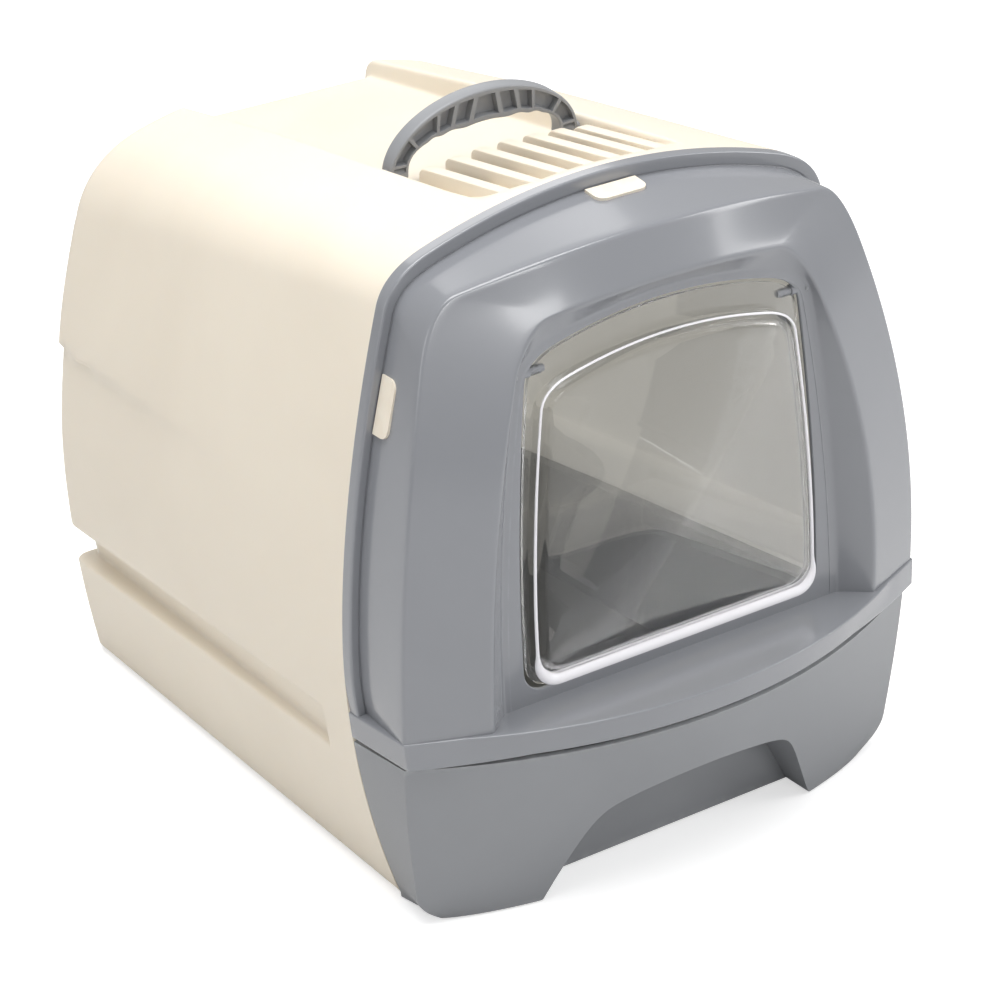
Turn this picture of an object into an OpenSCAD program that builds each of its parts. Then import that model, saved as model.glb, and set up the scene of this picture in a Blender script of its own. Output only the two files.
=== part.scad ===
// Hooded cat litter box: one-piece housing, leaning front frame with a swinging clear door,
// pull-out litter drawer under it, folding carry handle and a carbon filter behind the vents.
// Millimetres, +Z up, front towards -Y.  The origin lies on the floor under the middle of the box.
// Every shape is drawn with Y = 0 on the joint between housing and front frame, then set_down()
// moves it so that the origin is in the middle of the overall depth.

/* [Housing] */
// Widest width of the housing, across its flanks
body_w = 440; // [380:1:520]
// Height of the hood's crown at the front edge
body_h = 487; // [420:1:560]
// Depth of the housing behind the front frame
body_d = 470; // [390:1:560]
// Wall thickness of the housing and of the front frame
wall = 3; // [2.6:0.1:3.6]
// Fall of the crown from the front edge to the rear
crown_fall = 39; // [25:1:50]
// Radius of the crown's arch, side to side
crown_r = 439; // [400:1:600]
// How far the rear wall leans forward at the crown
rear_lean = 44; // [20:1:60]
// How much narrower each flank is at the rear
rear_tuck = 17; // [8:1:22]
// Height of the moulded feet
foot_h = 4; // [3:0.5:8]

/* [Side groove] */
// Distance from the front edge to the end of the grip groove
groove_start = 40; // [30:1:80]
// Height of the groove's lower ledge at its front end
groove_z = 113; // [108:1:125]
// Height of the groove opening
groove_h = 31; // [24:1:36]
// How much lower the groove runs at the rear
groove_fall = 27; // [10:1:34]
// Depth of the groove at the front end
groove_depth = 12; // [8:1:16]

/* [Top channel and vents] */
// Width of the channel that holds the handle
channel_w = 161; // [150:1:190]
// Depth of the channel below the crown
channel_depth = 25.5; // [22:0.5:30]
// Distance from the front edge to the front ends of the vent bars
vent_start = 15; // [12:1:25]
// Length of the vent bars
vent_len = 100; // [80:1:110]
// Number of vent bars
vent_bars = 7; // [5:1:7]
// Pitch of the vent bars
vent_pitch = 21; // [19:0.5:22]
// Width of one vent bar
vent_bar_w = 9.5; // [7:0.5:11]

/* [Front frame] */
// Height of the sill, which is also the foot of the raised frame
sill_z = 156; // [150:1:175]
// Thickness of the sill's front rim
rim_h = 20; // [16:1:24]
// How far the sill reaches in front of the housing
rim_reach = 128; // [120:1:140]
// Radius of the sill's bowed front edge
rim_r = 349; // [340:1:420]
// How far the raised frame reaches in front of the housing at the sill
face_reach = 115.8; // [105:0.1:118]
// Thickness of the flange against the housing
flange_t = 10; // [6:0.5:12]

/* [Door] */
// Width of the door
door_w = 240; // [210:1:270]
// Height of the door's lower edge
door_z = 167; // [165:1:185]
// Height of the frame above the door, measured to the crown
header_h = 73; // [66:1:90]
// Thickness of the door sheet
door_t = 3; // [2:0.1:3.4]
// How far the door's dished middle stands forward
dish = 10; // [6:1:12]
// Height of the flat strip above the dish
strip_h = 16; // [10:1:24]
// Gap around the door
door_gap = 2.5; // [2:0.1:4]
// How far the door's back face stands in front of the housing
door_plane = 64; // [62:1:66]
// Radius of the door's pivot pins
door_pin_r = 2.5; // [2:0.1:3]

/* [Drawer] */
// Gap between the sill and the drawer front
drawer_gap = 3; // [2:0.5:5]
// Gap between the litter pan's rim and the housing
pan_gap = 2.5; // [2:0.5:8]
// Width of the litter pan's rim
pan_rim = 8; // [5:0.5:12]
// How far the pan's walls lean in towards its floor, each side
pan_lean = 24; // [10:1:40]
// Wall thickness of the litter pan
pan_t = 2.5; // [2:0.1:3.5]
// Height of the hand notch at its middle
notch_h = 84; // [70:1:90]
// Width of the hand notch at the floor
notch_w = 224; // [180:1:230]

/* [Handle] */
// Height of the handle above its pivots
handle_h = 49; // [43:0.5:54]
// How far the handle leans forward at rest, in degrees
handle_lean = 7; // [0:0.5:10]
// Thickness of the handle, front to back
handle_t = 12; // [11:0.5:15]
// Radius of the handle's pivot pins
handle_pin_r = 3.5; // [2.5:0.1:4]

/* [Hidden] */
$fn = 48;

cream = [0.91, 0.88, 0.80];
grey = [0.56, 0.57, 0.59];
dark = [0.25, 0.26, 0.28];

half_w = body_w / 2;
run = 0.08;            // radial clearance of a turning pin
seat = 0.5;            // clearance between the drawer and what it slides in
past = 1;              // how far a cutter runs past a face
side_t = wall;         // wall of the front frame and drawer front
rear_round = 14;       // depth of the rounded rear edge

// ---------- arch outlines ----------
// An arch is [foot_x, foot_z, belly_x, belly_z, shoulder_x, shoulder_z, corner_x, crown_z, bow, power]:
// flanks that bulge to belly_x, a rounded corner, and a crown that falls as bow * x * x.
flank_lo = 5;
flank_hi = 7;
corner_n = 6;
crown_n = 4;

function crown_at(a, x) = a[7] - a[8] * x * x;
function flank_at(a, z) = z < a[3]
    ? a[2] - (a[2] - a[0]) * pow((a[3] - z) / (a[3] - a[1]), 2)
    : a[2] - (a[2] - a[4]) * pow((z - a[3]) / (a[5] - a[3]), a[9]);
function flank_slope(a) = -a[9] * (a[2] - a[4]) / (a[5] - a[3]);
function corner_z(a) = let (s = -2 * a[8] * a[6], m = flank_slope(a), c = crown_at(a, a[6]))
    (c + s * (a[4] - m * a[5] - a[6])) / (1 - s * m);
function corner_pull(a) = [a[4] + flank_slope(a) * (corner_z(a) - a[5]), corner_z(a)];
function bend(p, q, r, t) = p * (1 - t) * (1 - t) + q * 2 * t * (1 - t) + r * t * t;
function arch_half(a) = concat(
    [for (i = [0:flank_lo - 1]) let (z = a[1] + (a[3] - a[1]) * i / flank_lo) [flank_at(a, z), z]],
    [for (i = [0:flank_hi - 1]) let (z = a[3] + (a[5] - a[3]) * i / flank_hi) [flank_at(a, z), z]],
    [for (i = [0:corner_n - 1])
        bend([a[4], a[5]], corner_pull(a), [a[6], crown_at(a, a[6])], i / corner_n)],
    [for (i = [0:crown_n - 1]) let (x = a[6] * (1 - i / crown_n)) [x, crown_at(a, x)]]);
function mirrored(half) = [for (i = [len(half) - 1:-1:0]) [-half[i][0], half[i][1]]];
function arch(a) = concat(arch_half(a), [[0, a[7]]], mirrored(arch_half(a)));
function inset(a, d) = [a[0] - d, a[1], a[2] - d, a[3], a[4] - d, a[5] - d / 2, a[6] - d / 2,
                        a[7] - d, a[8], a[9]];
function mix(a, b, t) = [for (i = [0:len(a) - 1]) a[i] * (1 - t) + b[i] * t];

// Rings of 3-D points become one closed solid, capped at both ends.
module loft(rings) {
    n = len(rings[0]);
    m = len(rings);
    polyhedron(points = [for (r = rings) for (p = r) p],
        faces = concat([[for (i = [0:n - 1]) i]],
            [for (k = [0:m - 2]) for (i = [0:n - 1]) let (j = (i + 1) % n)
                [k * n + i, (k + 1) * n + i, (k + 1) * n + j]],
            [for (k = [0:m - 2]) for (i = [0:n - 1]) let (j = (i + 1) % n)
                [k * n + i, (k + 1) * n + j, k * n + j]],
            [[for (i = [n - 1:-1:0]) (m - 1) * n + i]]));
}

// An outline in X and Z, drawn from y0 back to y1.
module upright(outline, y0, y1) {
    translate([0, y1, 0])
        rotate([90, 0, 0])
            linear_extrude(y1 - y0) polygon(outline);
}

// An outline in Y and Z, drawn across the width from -w/2 to w/2.
module across(outline, w) {
    translate([-w / 2, 0, 0])
        rotate([90, 0, 90])
            linear_extrude(w) polygon(outline);
}

face_mid = (rim_reach - body_d) / 2;
module set_down() {
    translate([0, face_mid, 0]) children();
}

// ---------- housing ----------
belly_z = 187;
foot_tuck = 30;
front_arch = [half_w - foot_tuck, foot_h, half_w, belly_z, half_w - 44, body_h - 53,
              half_w - 81, body_h, 1 / (2 * crown_r), 1.7];
rear_arch = [half_w - foot_tuck - 7, foot_h, half_w - rear_tuck, belly_z + 9, half_w - 42,
             body_h - 114, half_w - 105, body_h - crown_fall, 1 / (2 * crown_r), 1.7];

function rear_y(z) = body_d - rear_lean * z / body_h;
function crown_z(y) = body_h - crown_fall * y / body_d;
function body_ring(y, d) = [for (p = arch(inset(mix(front_arch, rear_arch, y / body_d), d)))
                            [p[0], y, p[1]]];
function rear_ring(back, d) = [for (p = arch(inset(rear_arch, d))) [p[0], rear_y(p[1]) - back, p[1]]];
body_ys = [0.6, 0.3, 0];

module body_solid() {
    loft(concat([rear_ring(0, rear_round - 3), rear_ring(rear_round / 3, 3), rear_ring(rear_round, 0)],
        [for (t = body_ys) body_ring(t * body_d, 0)]));
}

floor_z = foot_h + wall;
module body_cavity() {
    intersection() {
        loft(concat([rear_ring(wall, wall + rear_round / 2), rear_ring(rear_round + wall, wall)],
            [for (t = concat(body_ys, [-0.01])) body_ring(t * body_d, wall)]));
        translate([-body_w, -body_d, floor_z]) cube([2 * body_w, 3 * body_d, body_h]);
    }
}

// The grip groove runs along both sides and round the back; grow widens it by a wall.
function ledge_z(y) = groove_z - groove_fall * y / body_d;
module groove_cut(grow) {
    far = body_d + 50;
    front = groove_start - grow;
    core_y = body_d - groove_z * rear_lean / body_h - 15 - grow;
    difference() {
        across([[front, ledge_z(front) - grow], [far, ledge_z(far) - grow],
                [far, ledge_z(far) + groove_h + grow], [front, ledge_z(front) + groove_h + grow]],
            2 * body_w);
        loft([for (y = [core_y, front - past])
            let (deep = groove_depth + 2 + (y < groove_start ? 0 : 26) + grow,
                 lo = ledge_z(y) - grow - 9, hi = ledge_z(y) + groove_h + grow + 9)
            [[half_w - deep - 1, y, lo], [half_w - deep + 7, y, hi],
             [-half_w + deep - 7, y, hi], [-half_w + deep + 1, y, lo]]]);
    }
}

// The channel on the crown, with a ramp up to the front edge under the vent bars.
vent_end = vent_start + vent_len;
module channel_cut(grow) {
    far = body_d + 50;
    across([[vent_start - grow, crown_z(vent_start) + past - grow],
            [vent_end, crown_z(vent_end) - channel_depth - grow],
            [far, crown_z(far) - channel_depth - grow], [far, 2 * body_h],
            [vent_start - grow, 2 * body_h]],
        channel_w + 2 * grow);
}

bar_fall = 5;
bar_round = 2;
module vent_bar_block() {
    for (i = [0:vent_bars - 1])
        let (x = (i - (vent_bars - 1) / 2) * vent_pitch, side_fall = x * x / (2 * crown_r) + 0.4,
             low = crown_z(vent_end) - channel_depth - 2 * wall)
            translate([x, 0, 0])
                across([[0, low], [vent_end, low],
                        [vent_end, crown_z(vent_end) - side_fall - bar_fall - bar_round],
                        [vent_end - bar_round, crown_z(vent_end) - side_fall - bar_fall],
                        [0, crown_z(0) - side_fall]],
                    vent_bar_w);
}

slot_w = vent_pitch - vent_bar_w - 4;
slot_len = vent_len / 2;
module vent_slots() {
    for (i = [0:vent_bars - 2])
        translate([(i - (vent_bars - 2) / 2) * vent_pitch - slot_w / 2, vent_end - slot_len - 6,
                   crown_z(vent_end) - 45])
            cube([slot_w, slot_len, 90]);
}

handle_y = vent_end + 28;
channel_floor = crown_z(handle_y) - channel_depth;
pin_head_r = handle_pin_r + 1.2;
pin_head_t = 2;
// The pins stay under the hood's skin beside the channel, where the crown has fallen away.
handle_z = min(channel_floor + 9, crown_z(handle_y) - 1.1 * wall - pin_head_r
               - pow(channel_w / 2 + wall + pin_head_t, 2) / (2 * crown_r));

// Hooked rails under the crown that carry the filter cover.
filter_l = 104;
filter_y = 18;
cover_h = 14;
cover_z = crown_z(vent_end) - channel_depth - wall - cover_h - 4;
hook_t = 2.5;
module filter_rails() {
    for (s = [-1, 1])
        translate([s > 0 ? channel_w / 2 : -channel_w / 2 - wall, filter_y, 0]) {
            translate([0, 0, cover_z - hook_t]) cube([wall, filter_l, body_h - cover_z - 19]);
            translate([s > 0 ? -4 : 0, 0, cover_z - hook_t]) cube([wall + 4, filter_l, hook_t]);
        }
}

// The feet under the base, wider at the front where the edge meets the frame.
foot_blocks = [[0, 99, 30], [body_d - 84, 60, 40]];
module feet() {
    for (f = foot_blocks)
        for (s = [-1, 1])
            translate([s * (half_w - foot_tuck - f[2]) - 20, f[0], 0]) cube([40, f[1], floor_z - past]);
}

module housing() {
    color(cream) set_down()
    difference() {
        union() {
            difference() {
                body_solid();
                difference() {
                    body_cavity();
                    groove_cut(wall);
                    channel_cut(wall);
                }
                groove_cut(0);
                difference() {
                    channel_cut(0);
                    vent_bar_block();
                }
            }
            filter_rails();
            feet();
        }
        vent_slots();
        for (s = [-1, 1])
            translate([s > 0 ? channel_w / 2 - past : -channel_w / 2 - wall - past, handle_y, handle_z])
                rotate([0, 90, 0]) cylinder(r = handle_pin_r, h = wall + 2 * past);
    }
}

// ---------- front frame ----------
groove_in = 7.2;
face_belly = 6;
frame_z = sill_z - side_t / 2;
foot_in = 1.5;         // how far the flange's foot stands inside the sill's end
flange_arch = [flank_at(front_arch, frame_z) - foot_in, frame_z, half_w, belly_z, half_w - 44,
               body_h - 53, half_w - 81, body_h, 1 / (2 * crown_r), 1.7];
raise_arch = concat([for (i = [0:6]) inset(flange_arch, groove_in)[i]],
                    [body_h - groove_in - 3], [for (i = [8:9]) flange_arch[i]]);
crease_arch = [half_w - face_belly, frame_z, half_w - face_belly, sill_z + 4, half_w - 43,
               body_h - 82, half_w - 74, body_h - 19.5, 0.00085, 2];
door_top = body_h - header_h;
half_door = door_w / 2;
crown_dip = 10.33;     // how far the door's crown falls from its middle to its corner
door_bow = crown_dip / pow(half_door - 37, 2);
recess_arch = [half_door + 39.5, frame_z, half_door + 39.5, sill_z + 4, half_door + 4,
               door_top - 31, half_door - 32, door_top + 20, 0.00085, 2.2];
panel_arch = [half_door + 20, frame_z, half_door + 20, sill_z + 4, half_door - 1,
              door_top - 26, half_door - 36, door_top + 9, door_bow, 2];
door_arch = [half_door, door_z, half_door, door_z + 40, half_door - 12, door_top - 32,
             half_door - 37, door_top, door_bow, 1.8];

// The raised face bows round a vertical axis and curls back towards the crown.
face_bow = 0.0012;
face_lean = -0.0695;
face_curl = 0.00071;
function face_y(x, z) = let (u = max(0, z - sill_z))
    -face_reach + face_lean * u + face_curl * u * u + face_bow * x * x;
function rim_y(x, reach) = -reach + rim_r - sqrt(rim_r * rim_r - x * x);

// Sections through the frame, one at each point of the arches: flange, groove, raised side,
// face, recess wall, then back round the inside at the wall's thickness.
module raised_frame() {
    outer = arch(flange_arch);
    groove = arch(raise_arch);
    crease = arch(crease_arch);
    recess = arch(recess_arch);
    panel = arch(panel_arch);
    panel_in = arch(inset(panel_arch, 6));
    recess_in = arch(inset(recess_arch, -side_t));
    crease_in = arch(inset(crease_arch, side_t));
    groove_in_arch = arch(inset(raise_arch, side_t));
    front = -door_plane - door_t - 1;
    loft([for (i = [0:len(outer) - 1]) [
        [outer[i][0], 0, outer[i][1]],
        [groove_in_arch[i][0], 0, groove_in_arch[i][1]],
        [crease_in[i][0], face_y(crease[i][0], crease[i][1]) + 2 * side_t, crease_in[i][1]],
        [recess_in[i][0], face_y(recess[i][0], recess[i][1]) + side_t, recess_in[i][1]],
        [panel[i][0], front + side_t, panel[i][1]],
        [panel_in[i][0], front + side_t, panel_in[i][1]],
        [panel_in[i][0], front, panel_in[i][1]],
        [panel[i][0], front, panel[i][1]],
        [recess[i][0], face_y(recess[i][0], recess[i][1]), recess[i][1]],
        [crease[i][0], face_y(crease[i][0], crease[i][1]), crease[i][1]],
        [groove[i][0], -flange_t, groove[i][1]],
        [outer[i][0], -flange_t, outer[i][1]]]]);
}

// A closed plan ring at height z: right rear, bowed front, left rear.  Near the corners it
// follows the raised face, which stands on it.
bow_n = 14;
band_w = 14;
sill_lap = 8;          // how far the sill's shelf runs behind the door
sill_tuck = face_belly - 1.5;
function sill_ring(z, x, d, reach) = concat([[x - d, d > 0 ? past : 0, z]],
    [for (i = [0:bow_n]) let (u = (x - sill_tuck - d) * (1 - 2 * i / bow_n))
        [u, min(rim_y(u, reach - d), face_y(u, sill_z) - 1 + d), z]],
    [[-x + d, d > 0 ? past : 0, z]]);

module sill() {
    z0 = sill_z - rim_h;
    x0 = flank_at(front_arch, z0);
    x1 = flank_at(front_arch, sill_z);
    difference() {
        loft([sill_ring(sill_z, x1, 0, rim_reach), sill_ring(z0, x0, 0, rim_reach - 6)]);
        loft([sill_ring(sill_z - side_t, x1, side_t, rim_reach),
              sill_ring(z0 - past, x0, side_t, rim_reach - 6)]);
        translate([-x0 + band_w, -door_plane + sill_lap, z0 - past])
            cube([2 * (x0 - band_w), door_plane - sill_lap + past, rim_h + 2 * past]);
    }
}

// The door opening's outline, with round lower corners.
low_r = 16;
function low_corner(x, z) = [for (i = [0:4]) let (t = 22.5 * i)
    [x - low_r + low_r * sin(t), z + low_r - low_r * cos(t)]];
function lowered(a, d) = [a[0], a[1], a[2], a[3], a[4], a[5] - d, a[6], a[7] - d, a[8], a[9]];
function opening_half(grow, low) = let (h = arch_half(inset(lowered(door_arch, low), -grow)))
    concat(low_corner(half_door + grow, door_z - grow), [for (i = [flank_lo:len(h) - 1]) h[i]]);
function opening(grow, low = 0) = concat(opening_half(grow, low), [[0, door_top + grow - low]],
                                         mirrored(opening_half(grow, low)));

hinge_y = -door_plane;
hinge_z = door_top - 23;
barrel_r = door_pin_r + 2.4;
barrel_len = 14;
barrel_end = half_door - 16;
lug_gap = 0.8;
lug_x = barrel_end + lug_gap;
lug_w = 11;
lug_r = barrel_r + 0.6;
// The raised frame with the flat panel round the door opening and the two hinge lugs.
module raised_face() {
    difference() {
        union() {
            raised_frame();
            difference() {
                upright(concat([[half_door + 17, sill_z - 2]],
                        [for (p = arch(inset(panel_arch, 3))) if (p[1] > sill_z) p],
                        [[-half_door - 17, sill_z - 2]]),
                    -door_plane - door_t - 0.8, -door_plane - 0.5);
                upright(opening(door_gap), -door_plane - 20, past);
            }
            for (s = [-1, 1])
                translate([s > 0 ? lug_x : -lug_x - lug_w, hinge_y, hinge_z])
                    rotate([0, 90, 0]) cylinder(r = lug_r, h = lug_w);
        }
        for (s = [-1, 1])
            translate([s > 0 ? lug_x - past : -lug_x - lug_w - past, hinge_y, hinge_z])
                rotate([0, 90, 0]) cylinder(r = door_pin_r, h = lug_w + 2 * past);
    }
}

module front_bezel() {
    color(grey) set_down()
    union() {
        raised_face();
        sill();
    }
}

// Tongues of the housing's snap clips, lying on the raised side of the frame.
clip_l = 40;
clip_w = 17;
clip_t = 2.6;
clip_r = 7;
module clip_tongue() {
    linear_extrude(clip_t)
        polygon(concat([[clip_l / 2, 0]],
            [for (i = [0:6]) let (t = 15 * i) [clip_l / 2 - clip_r + clip_r * cos(t),
                                               -clip_w + clip_r - clip_r * sin(t)]],
            [for (i = [0:6]) let (t = 90 - 15 * i) [-clip_l / 2 + clip_r - clip_r * cos(t),
                                                    -clip_w + clip_r - clip_r * sin(t)]],
            [[-clip_l / 2, 0]]));
}

module bezel_clip_top() {
    fall = atan((raise_arch[7] - crease_arch[7]) / (-face_y(0, crease_arch[7]) - flange_t));
    color(cream) set_down()
        translate([0, -flange_t - 1, raise_arch[7] - 1.2])
            rotate([fall, 0, 0]) clip_tongue();
}

clip_z = body_h - 114;
module clip_side(s) {
    x = flank_at(raise_arch, clip_z);
    tip = flank_at(crease_arch, clip_z);
    lean = atan(raise_arch[9] * (x - flank_at(raise_arch, clip_z + clip_l / 2)) / (clip_l / 2) * 0.62);
    taper = atan((x - tip) / (-face_y(tip, clip_z) - flange_t));
    color(cream) set_down()
        translate([s * (x - 1.2), -flange_t - 1, clip_z])
            rotate([0, s * (90 - lean), 0]) rotate([taper, 0, 0]) clip_tongue();
}
module bezel_clip_left() {
    clip_side(-1);
}
module bezel_clip_right() {
    clip_side(1);
}

// ---------- door ----------
pin_in = 10;           // how far a pivot pin reaches into the door
notch_r = lug_r + 1.4; // half height of the door's notch round the frame's lug
module door_pane() {
    // forward offset, inset and lowering of each ring, from the dish round the edge to its back
    steps = [[-dish, -16, strip_h], [-dish + 2, -12, strip_h], [-2, -8, strip_h], [0, -6, strip_h],
             [0, 0, 0], [door_t, 0, 0], [door_t, -8, strip_h], [door_t + 1 - dish * 0.8, -14, strip_h],
             [door_t - dish, -18, strip_h]];
    color([0.85, 0.88, 0.92, 0.35]) set_down()
    difference() {
        union() {
            loft([for (k = [len(steps) - 1:-1:0])
                [for (p = opening(steps[k][1], steps[k][2]))
                    [p[0], -door_plane - door_t + steps[k][0], p[1]]]]);
            for (s = [-1, 1])
                translate([s > 0 ? barrel_end - barrel_len : -barrel_end, hinge_y, hinge_z])
                    rotate([0, 90, 0]) cylinder(r = barrel_r, h = barrel_len);
        }
        for (s = [-1, 1]) {
            translate([s > 0 ? barrel_end - pin_in - past : -barrel_end - past, hinge_y, hinge_z])
                rotate([0, 90, 0]) cylinder(r = door_pin_r + run, h = pin_in + 2 * past);
            translate([s > 0 ? barrel_end + lug_gap / 2 : -barrel_end - lug_gap / 2 - lug_w,
                       hinge_y - notch_r, hinge_z - notch_r])
                cube([lug_w, 2 * notch_r, 2 * notch_r]);
        }
    }
}

// A pin pressed through the frame's lug, with a head outside it.
module door_pivot(s) {
    color(dark) set_down()
        translate([s * (barrel_end - pin_in), hinge_y, hinge_z]) rotate([0, s * 90, 0]) {
            cylinder(r = door_pin_r, h = lug_x + lug_w + pin_in - barrel_end);
            translate([0, 0, lug_x + lug_w + pin_in - barrel_end]) cylinder(r = door_pin_r + 2, h = 2);
        }
}
module door_pivot_left() {
    door_pivot(-1);
}
module door_pivot_right() {
    door_pivot(1);
}

// ---------- drawer ----------
drawer_top = sill_z - rim_h - drawer_gap;
drawer_zs = [1, 8, 25, 50, 80, 108, drawer_top];
function drawer_side(z) = flank_at(front_arch, max(z, foot_h)) - 0.4;
function drawer_crease(z) = let (u = (drawer_top - z) / drawer_top)
    half_w - 8.5 - 12.5 * pow(u, 1.6) - (z < 25 ? 18 * pow((25 - z) / 25, 2) : 0);
function crease_back(z) = rim_reach - 87 + 14 * z / drawer_top;
function drawer_sag(z) = 36 + 31 * pow(z / drawer_top, 1.4);
function drawer_ring(z, d) = let (c = drawer_crease(z) - d, y = -crease_back(z) + d)
    concat([[drawer_side(z) - d, -seat + (d > 0 ? past : 0), z]],
        [for (i = [0:bow_n]) let (u = 1 - 2 * i / bow_n) [c * u, y - drawer_sag(z) * (1 - u * u), z]],
        [[-drawer_side(z) + d, -seat + (d > 0 ? past : 0), z]]);

module drawer_solid(d, grow) {
    loft([for (k = [len(drawer_zs) - 1:-1:0])
        [for (p = drawer_ring(drawer_zs[k], d))
            [p[0], p[1], p[2] + (k == 0 ? -grow : k == len(drawer_zs) - 1 ? grow : 0)]]]);
}

pocket_y = -38;
pocket_h = notch_h + 24;
module drawer_front() {
    knee = notch_w / 2 - 24;
    color(grey) set_down()
    difference() {
        union() {
            difference() {
                drawer_solid(0, 0);
                drawer_solid(side_t, past);
            }
            intersection() {
                drawer_solid(0, 0);
                difference() {
                    translate([-notch_w / 2 - side_t, -rim_reach, 0])
                        cube([notch_w + 2 * side_t, rim_reach + pocket_y + side_t, pocket_h + side_t]);
                    translate([-notch_w / 2, -rim_reach - past, -past])
                        cube([notch_w, rim_reach + past + pocket_y, pocket_h + past]);
                }
            }
        }
        upright(concat([[notch_w / 2, 0], [knee, notch_h - 26]],
                [for (i = [-4:4]) [-(knee - 7) * i / 4, notch_h - 14 * pow(i / 4, 2)]],
                [[-knee, notch_h - 26], [-notch_w / 2, 0]]),
            -rim_reach - past, pocket_y - 2);
    }
}

// The pan's rim runs just under the groove's inner wall, so it falls and narrows to the rear.
pan_y = 4;
pan_z = floor_z + seat;
rim_drop = 2;
pan_back = body_d - rear_lean * groove_z / body_h - wall - 5;
function pan_top_z(y) = ledge_z(y) - wall - rim_drop;
function pan_half(y) = flank_at(mix(front_arch, rear_arch, y / body_d), pan_top_z(y)) - wall - pan_gap;
// The front wall stands upright behind the rim, so that the lugs meet it squarely.
function front_in(d) = d > pan_rim + pan_lean ? pan_rim + pan_t : pan_rim;
// A ring with round corners, d inside the rim; flat at height z, or along the rim where z is 0.
function pan_ring(d, r, z, lift) = [for (q = [0:3]) for (i = [0:4])
    let (t = 90 * q + 22.5 * i, cy = q < 2 ? pan_back - d - r : pan_y + min(d, front_in(d)) + r,
         y = cy + r * sin(t), x = (q == 0 || q == 3 ? 1 : -1) * (pan_half(cy) - d - r) + r * cos(t))
    [x, y, (z > 0 ? z : pan_top_z(y)) + lift]];

module litter_pan() {
    base_in = pan_rim + pan_lean;
    color(dark) set_down()
    difference() {
        union() {
            loft([pan_ring(base_in, 24, pan_z, 0), pan_ring(pan_rim, 28, 0, 0)]);
            loft([pan_ring(0, 34, 0, -pan_t), pan_ring(0, 34, 0, 0.4)]);
        }
        loft([pan_ring(base_in + pan_t + 2, 22, pan_z + pan_t, 0),
              pan_ring(pan_rim + pan_t, 26, 0, past)]);
    }
}

// A moulded lug that ties the drawer front to the pan.
lug_z = 46;
module pan_lug(s) {
    w = 30;
    lug_l = pan_y + pan_rim - pocket_y - side_t;
    color(dark) set_down()
        translate([s * 78 - w / 2, pocket_y + side_t, lug_z])
            cube([w, lug_l, 34]);
}
module pan_lug_left() {
    pan_lug(-1);
}
module pan_lug_right() {
    pan_lug(1);
}

// ---------- handle ----------
handle_gap = 3;
handle_w = channel_w - 2 * handle_gap;
leg_w = 15;
leg_r = min(6, handle_z - channel_floor - 2.5);
grip_t = 25;
bow_out = 2;
bow_in = 3;
// A point of a rounded arch, half-width w and height h, at angle t.
function arch_pt(w, h, n, t) = [sign(cos(t)) * w * pow(abs(cos(t)), 2 / n),
                                h * pow(abs(sin(t)), 2 / n)];
function between(k, t) = arch_pt(handle_w / 2, handle_h, bow_out, t) * (1 - k)
    + arch_pt(handle_w / 2 - leg_w, handle_h - grip_t, bow_in, t) * k;
pockets = [[4, 26], [29, 47], [51, 60], [64, 73], [77, 86], [94, 103], [107, 116], [120, 129],
           [133, 151], [154, 176]];
pocket_deep = 5;

module carry_handle() {
    color(grey) set_down() translate([0, handle_y, handle_z]) rotate([handle_lean, 0, 0])
    difference() {
        union() {
            upright(concat([for (i = [0:40]) between(0, 4.5 * i)], [for (i = [40:-1:0]) between(1, 4.5 * i)]),
                -handle_t / 2, handle_t / 2);
            for (s = [-1, 1])
                translate([s > 0 ? handle_w / 2 - leg_w : -handle_w / 2, 0, 0])
                    rotate([0, 90, 0]) cylinder(r = leg_r, h = leg_w);
        }
        for (p = pockets)
            for (face = [-1, 1])
                upright(concat([for (i = [0:3]) between(0.18, p[0] + (p[1] - p[0]) * i / 3)],
                        [for (i = [3:-1:0]) between(0.82, p[0] + (p[1] - p[0]) * i / 3)]),
                    face > 0 ? handle_t / 2 - pocket_deep : -handle_t / 2 - past,
                    face > 0 ? handle_t / 2 + past : -handle_t / 2 + pocket_deep);
        for (s = [-1, 1])
            translate([s > 0 ? handle_w / 2 - 12 : -handle_w / 2 - past, 0, 0])
                rotate([0, 90, 0]) cylinder(r = handle_pin_r + run, h = 12 + past);
    }
}

module handle_pin(s) {
    color(grey) set_down()
        translate([s * (handle_w / 2 - 11), handle_y, handle_z]) rotate([0, s * 90, 0]) {
            cylinder(r = handle_pin_r, h = 11 + handle_gap + wall);
            translate([0, 0, 11 + handle_gap + wall]) cylinder(r = pin_head_r, h = pin_head_t);
        }
}
module handle_pin_left() {
    handle_pin(-1);
}
module handle_pin_right() {
    handle_pin(1);
}

// ---------- filter ----------
grille_n = 9;
module filter_cover() {
    w = channel_w - 2;
    inner = w - 8;
    color(grey) set_down() translate([0, filter_y, cover_z])
    difference() {
        translate([-w / 2, 0, 0]) cube([w, filter_l, cover_h]);
        translate([-inner / 2, 4, 2]) cube([inner, filter_l - 8, cover_h]);
        for (i = [0:grille_n - 1])
            translate([(i - (grille_n - 1) / 2) * inner / grille_n - 5, 10, -past])
                cube([10, filter_l - 20, 2 + 2 * past]);
    }
}

module carbon_filter() {
    w = channel_w - 12;
    color(dark) set_down() translate([-w / 2, filter_y + 5, cover_z + 2])
        cube([w, filter_l - 10, 9]);
}

housing();
front_bezel();
bezel_clip_top();
bezel_clip_left();
bezel_clip_right();
door_pane();
door_pivot_left();
door_pivot_right();
drawer_front();
litter_pan();
pan_lug_left();
pan_lug_right();
carry_handle();
handle_pin_left();
handle_pin_right();
filter_cover();
carbon_filter();
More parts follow.
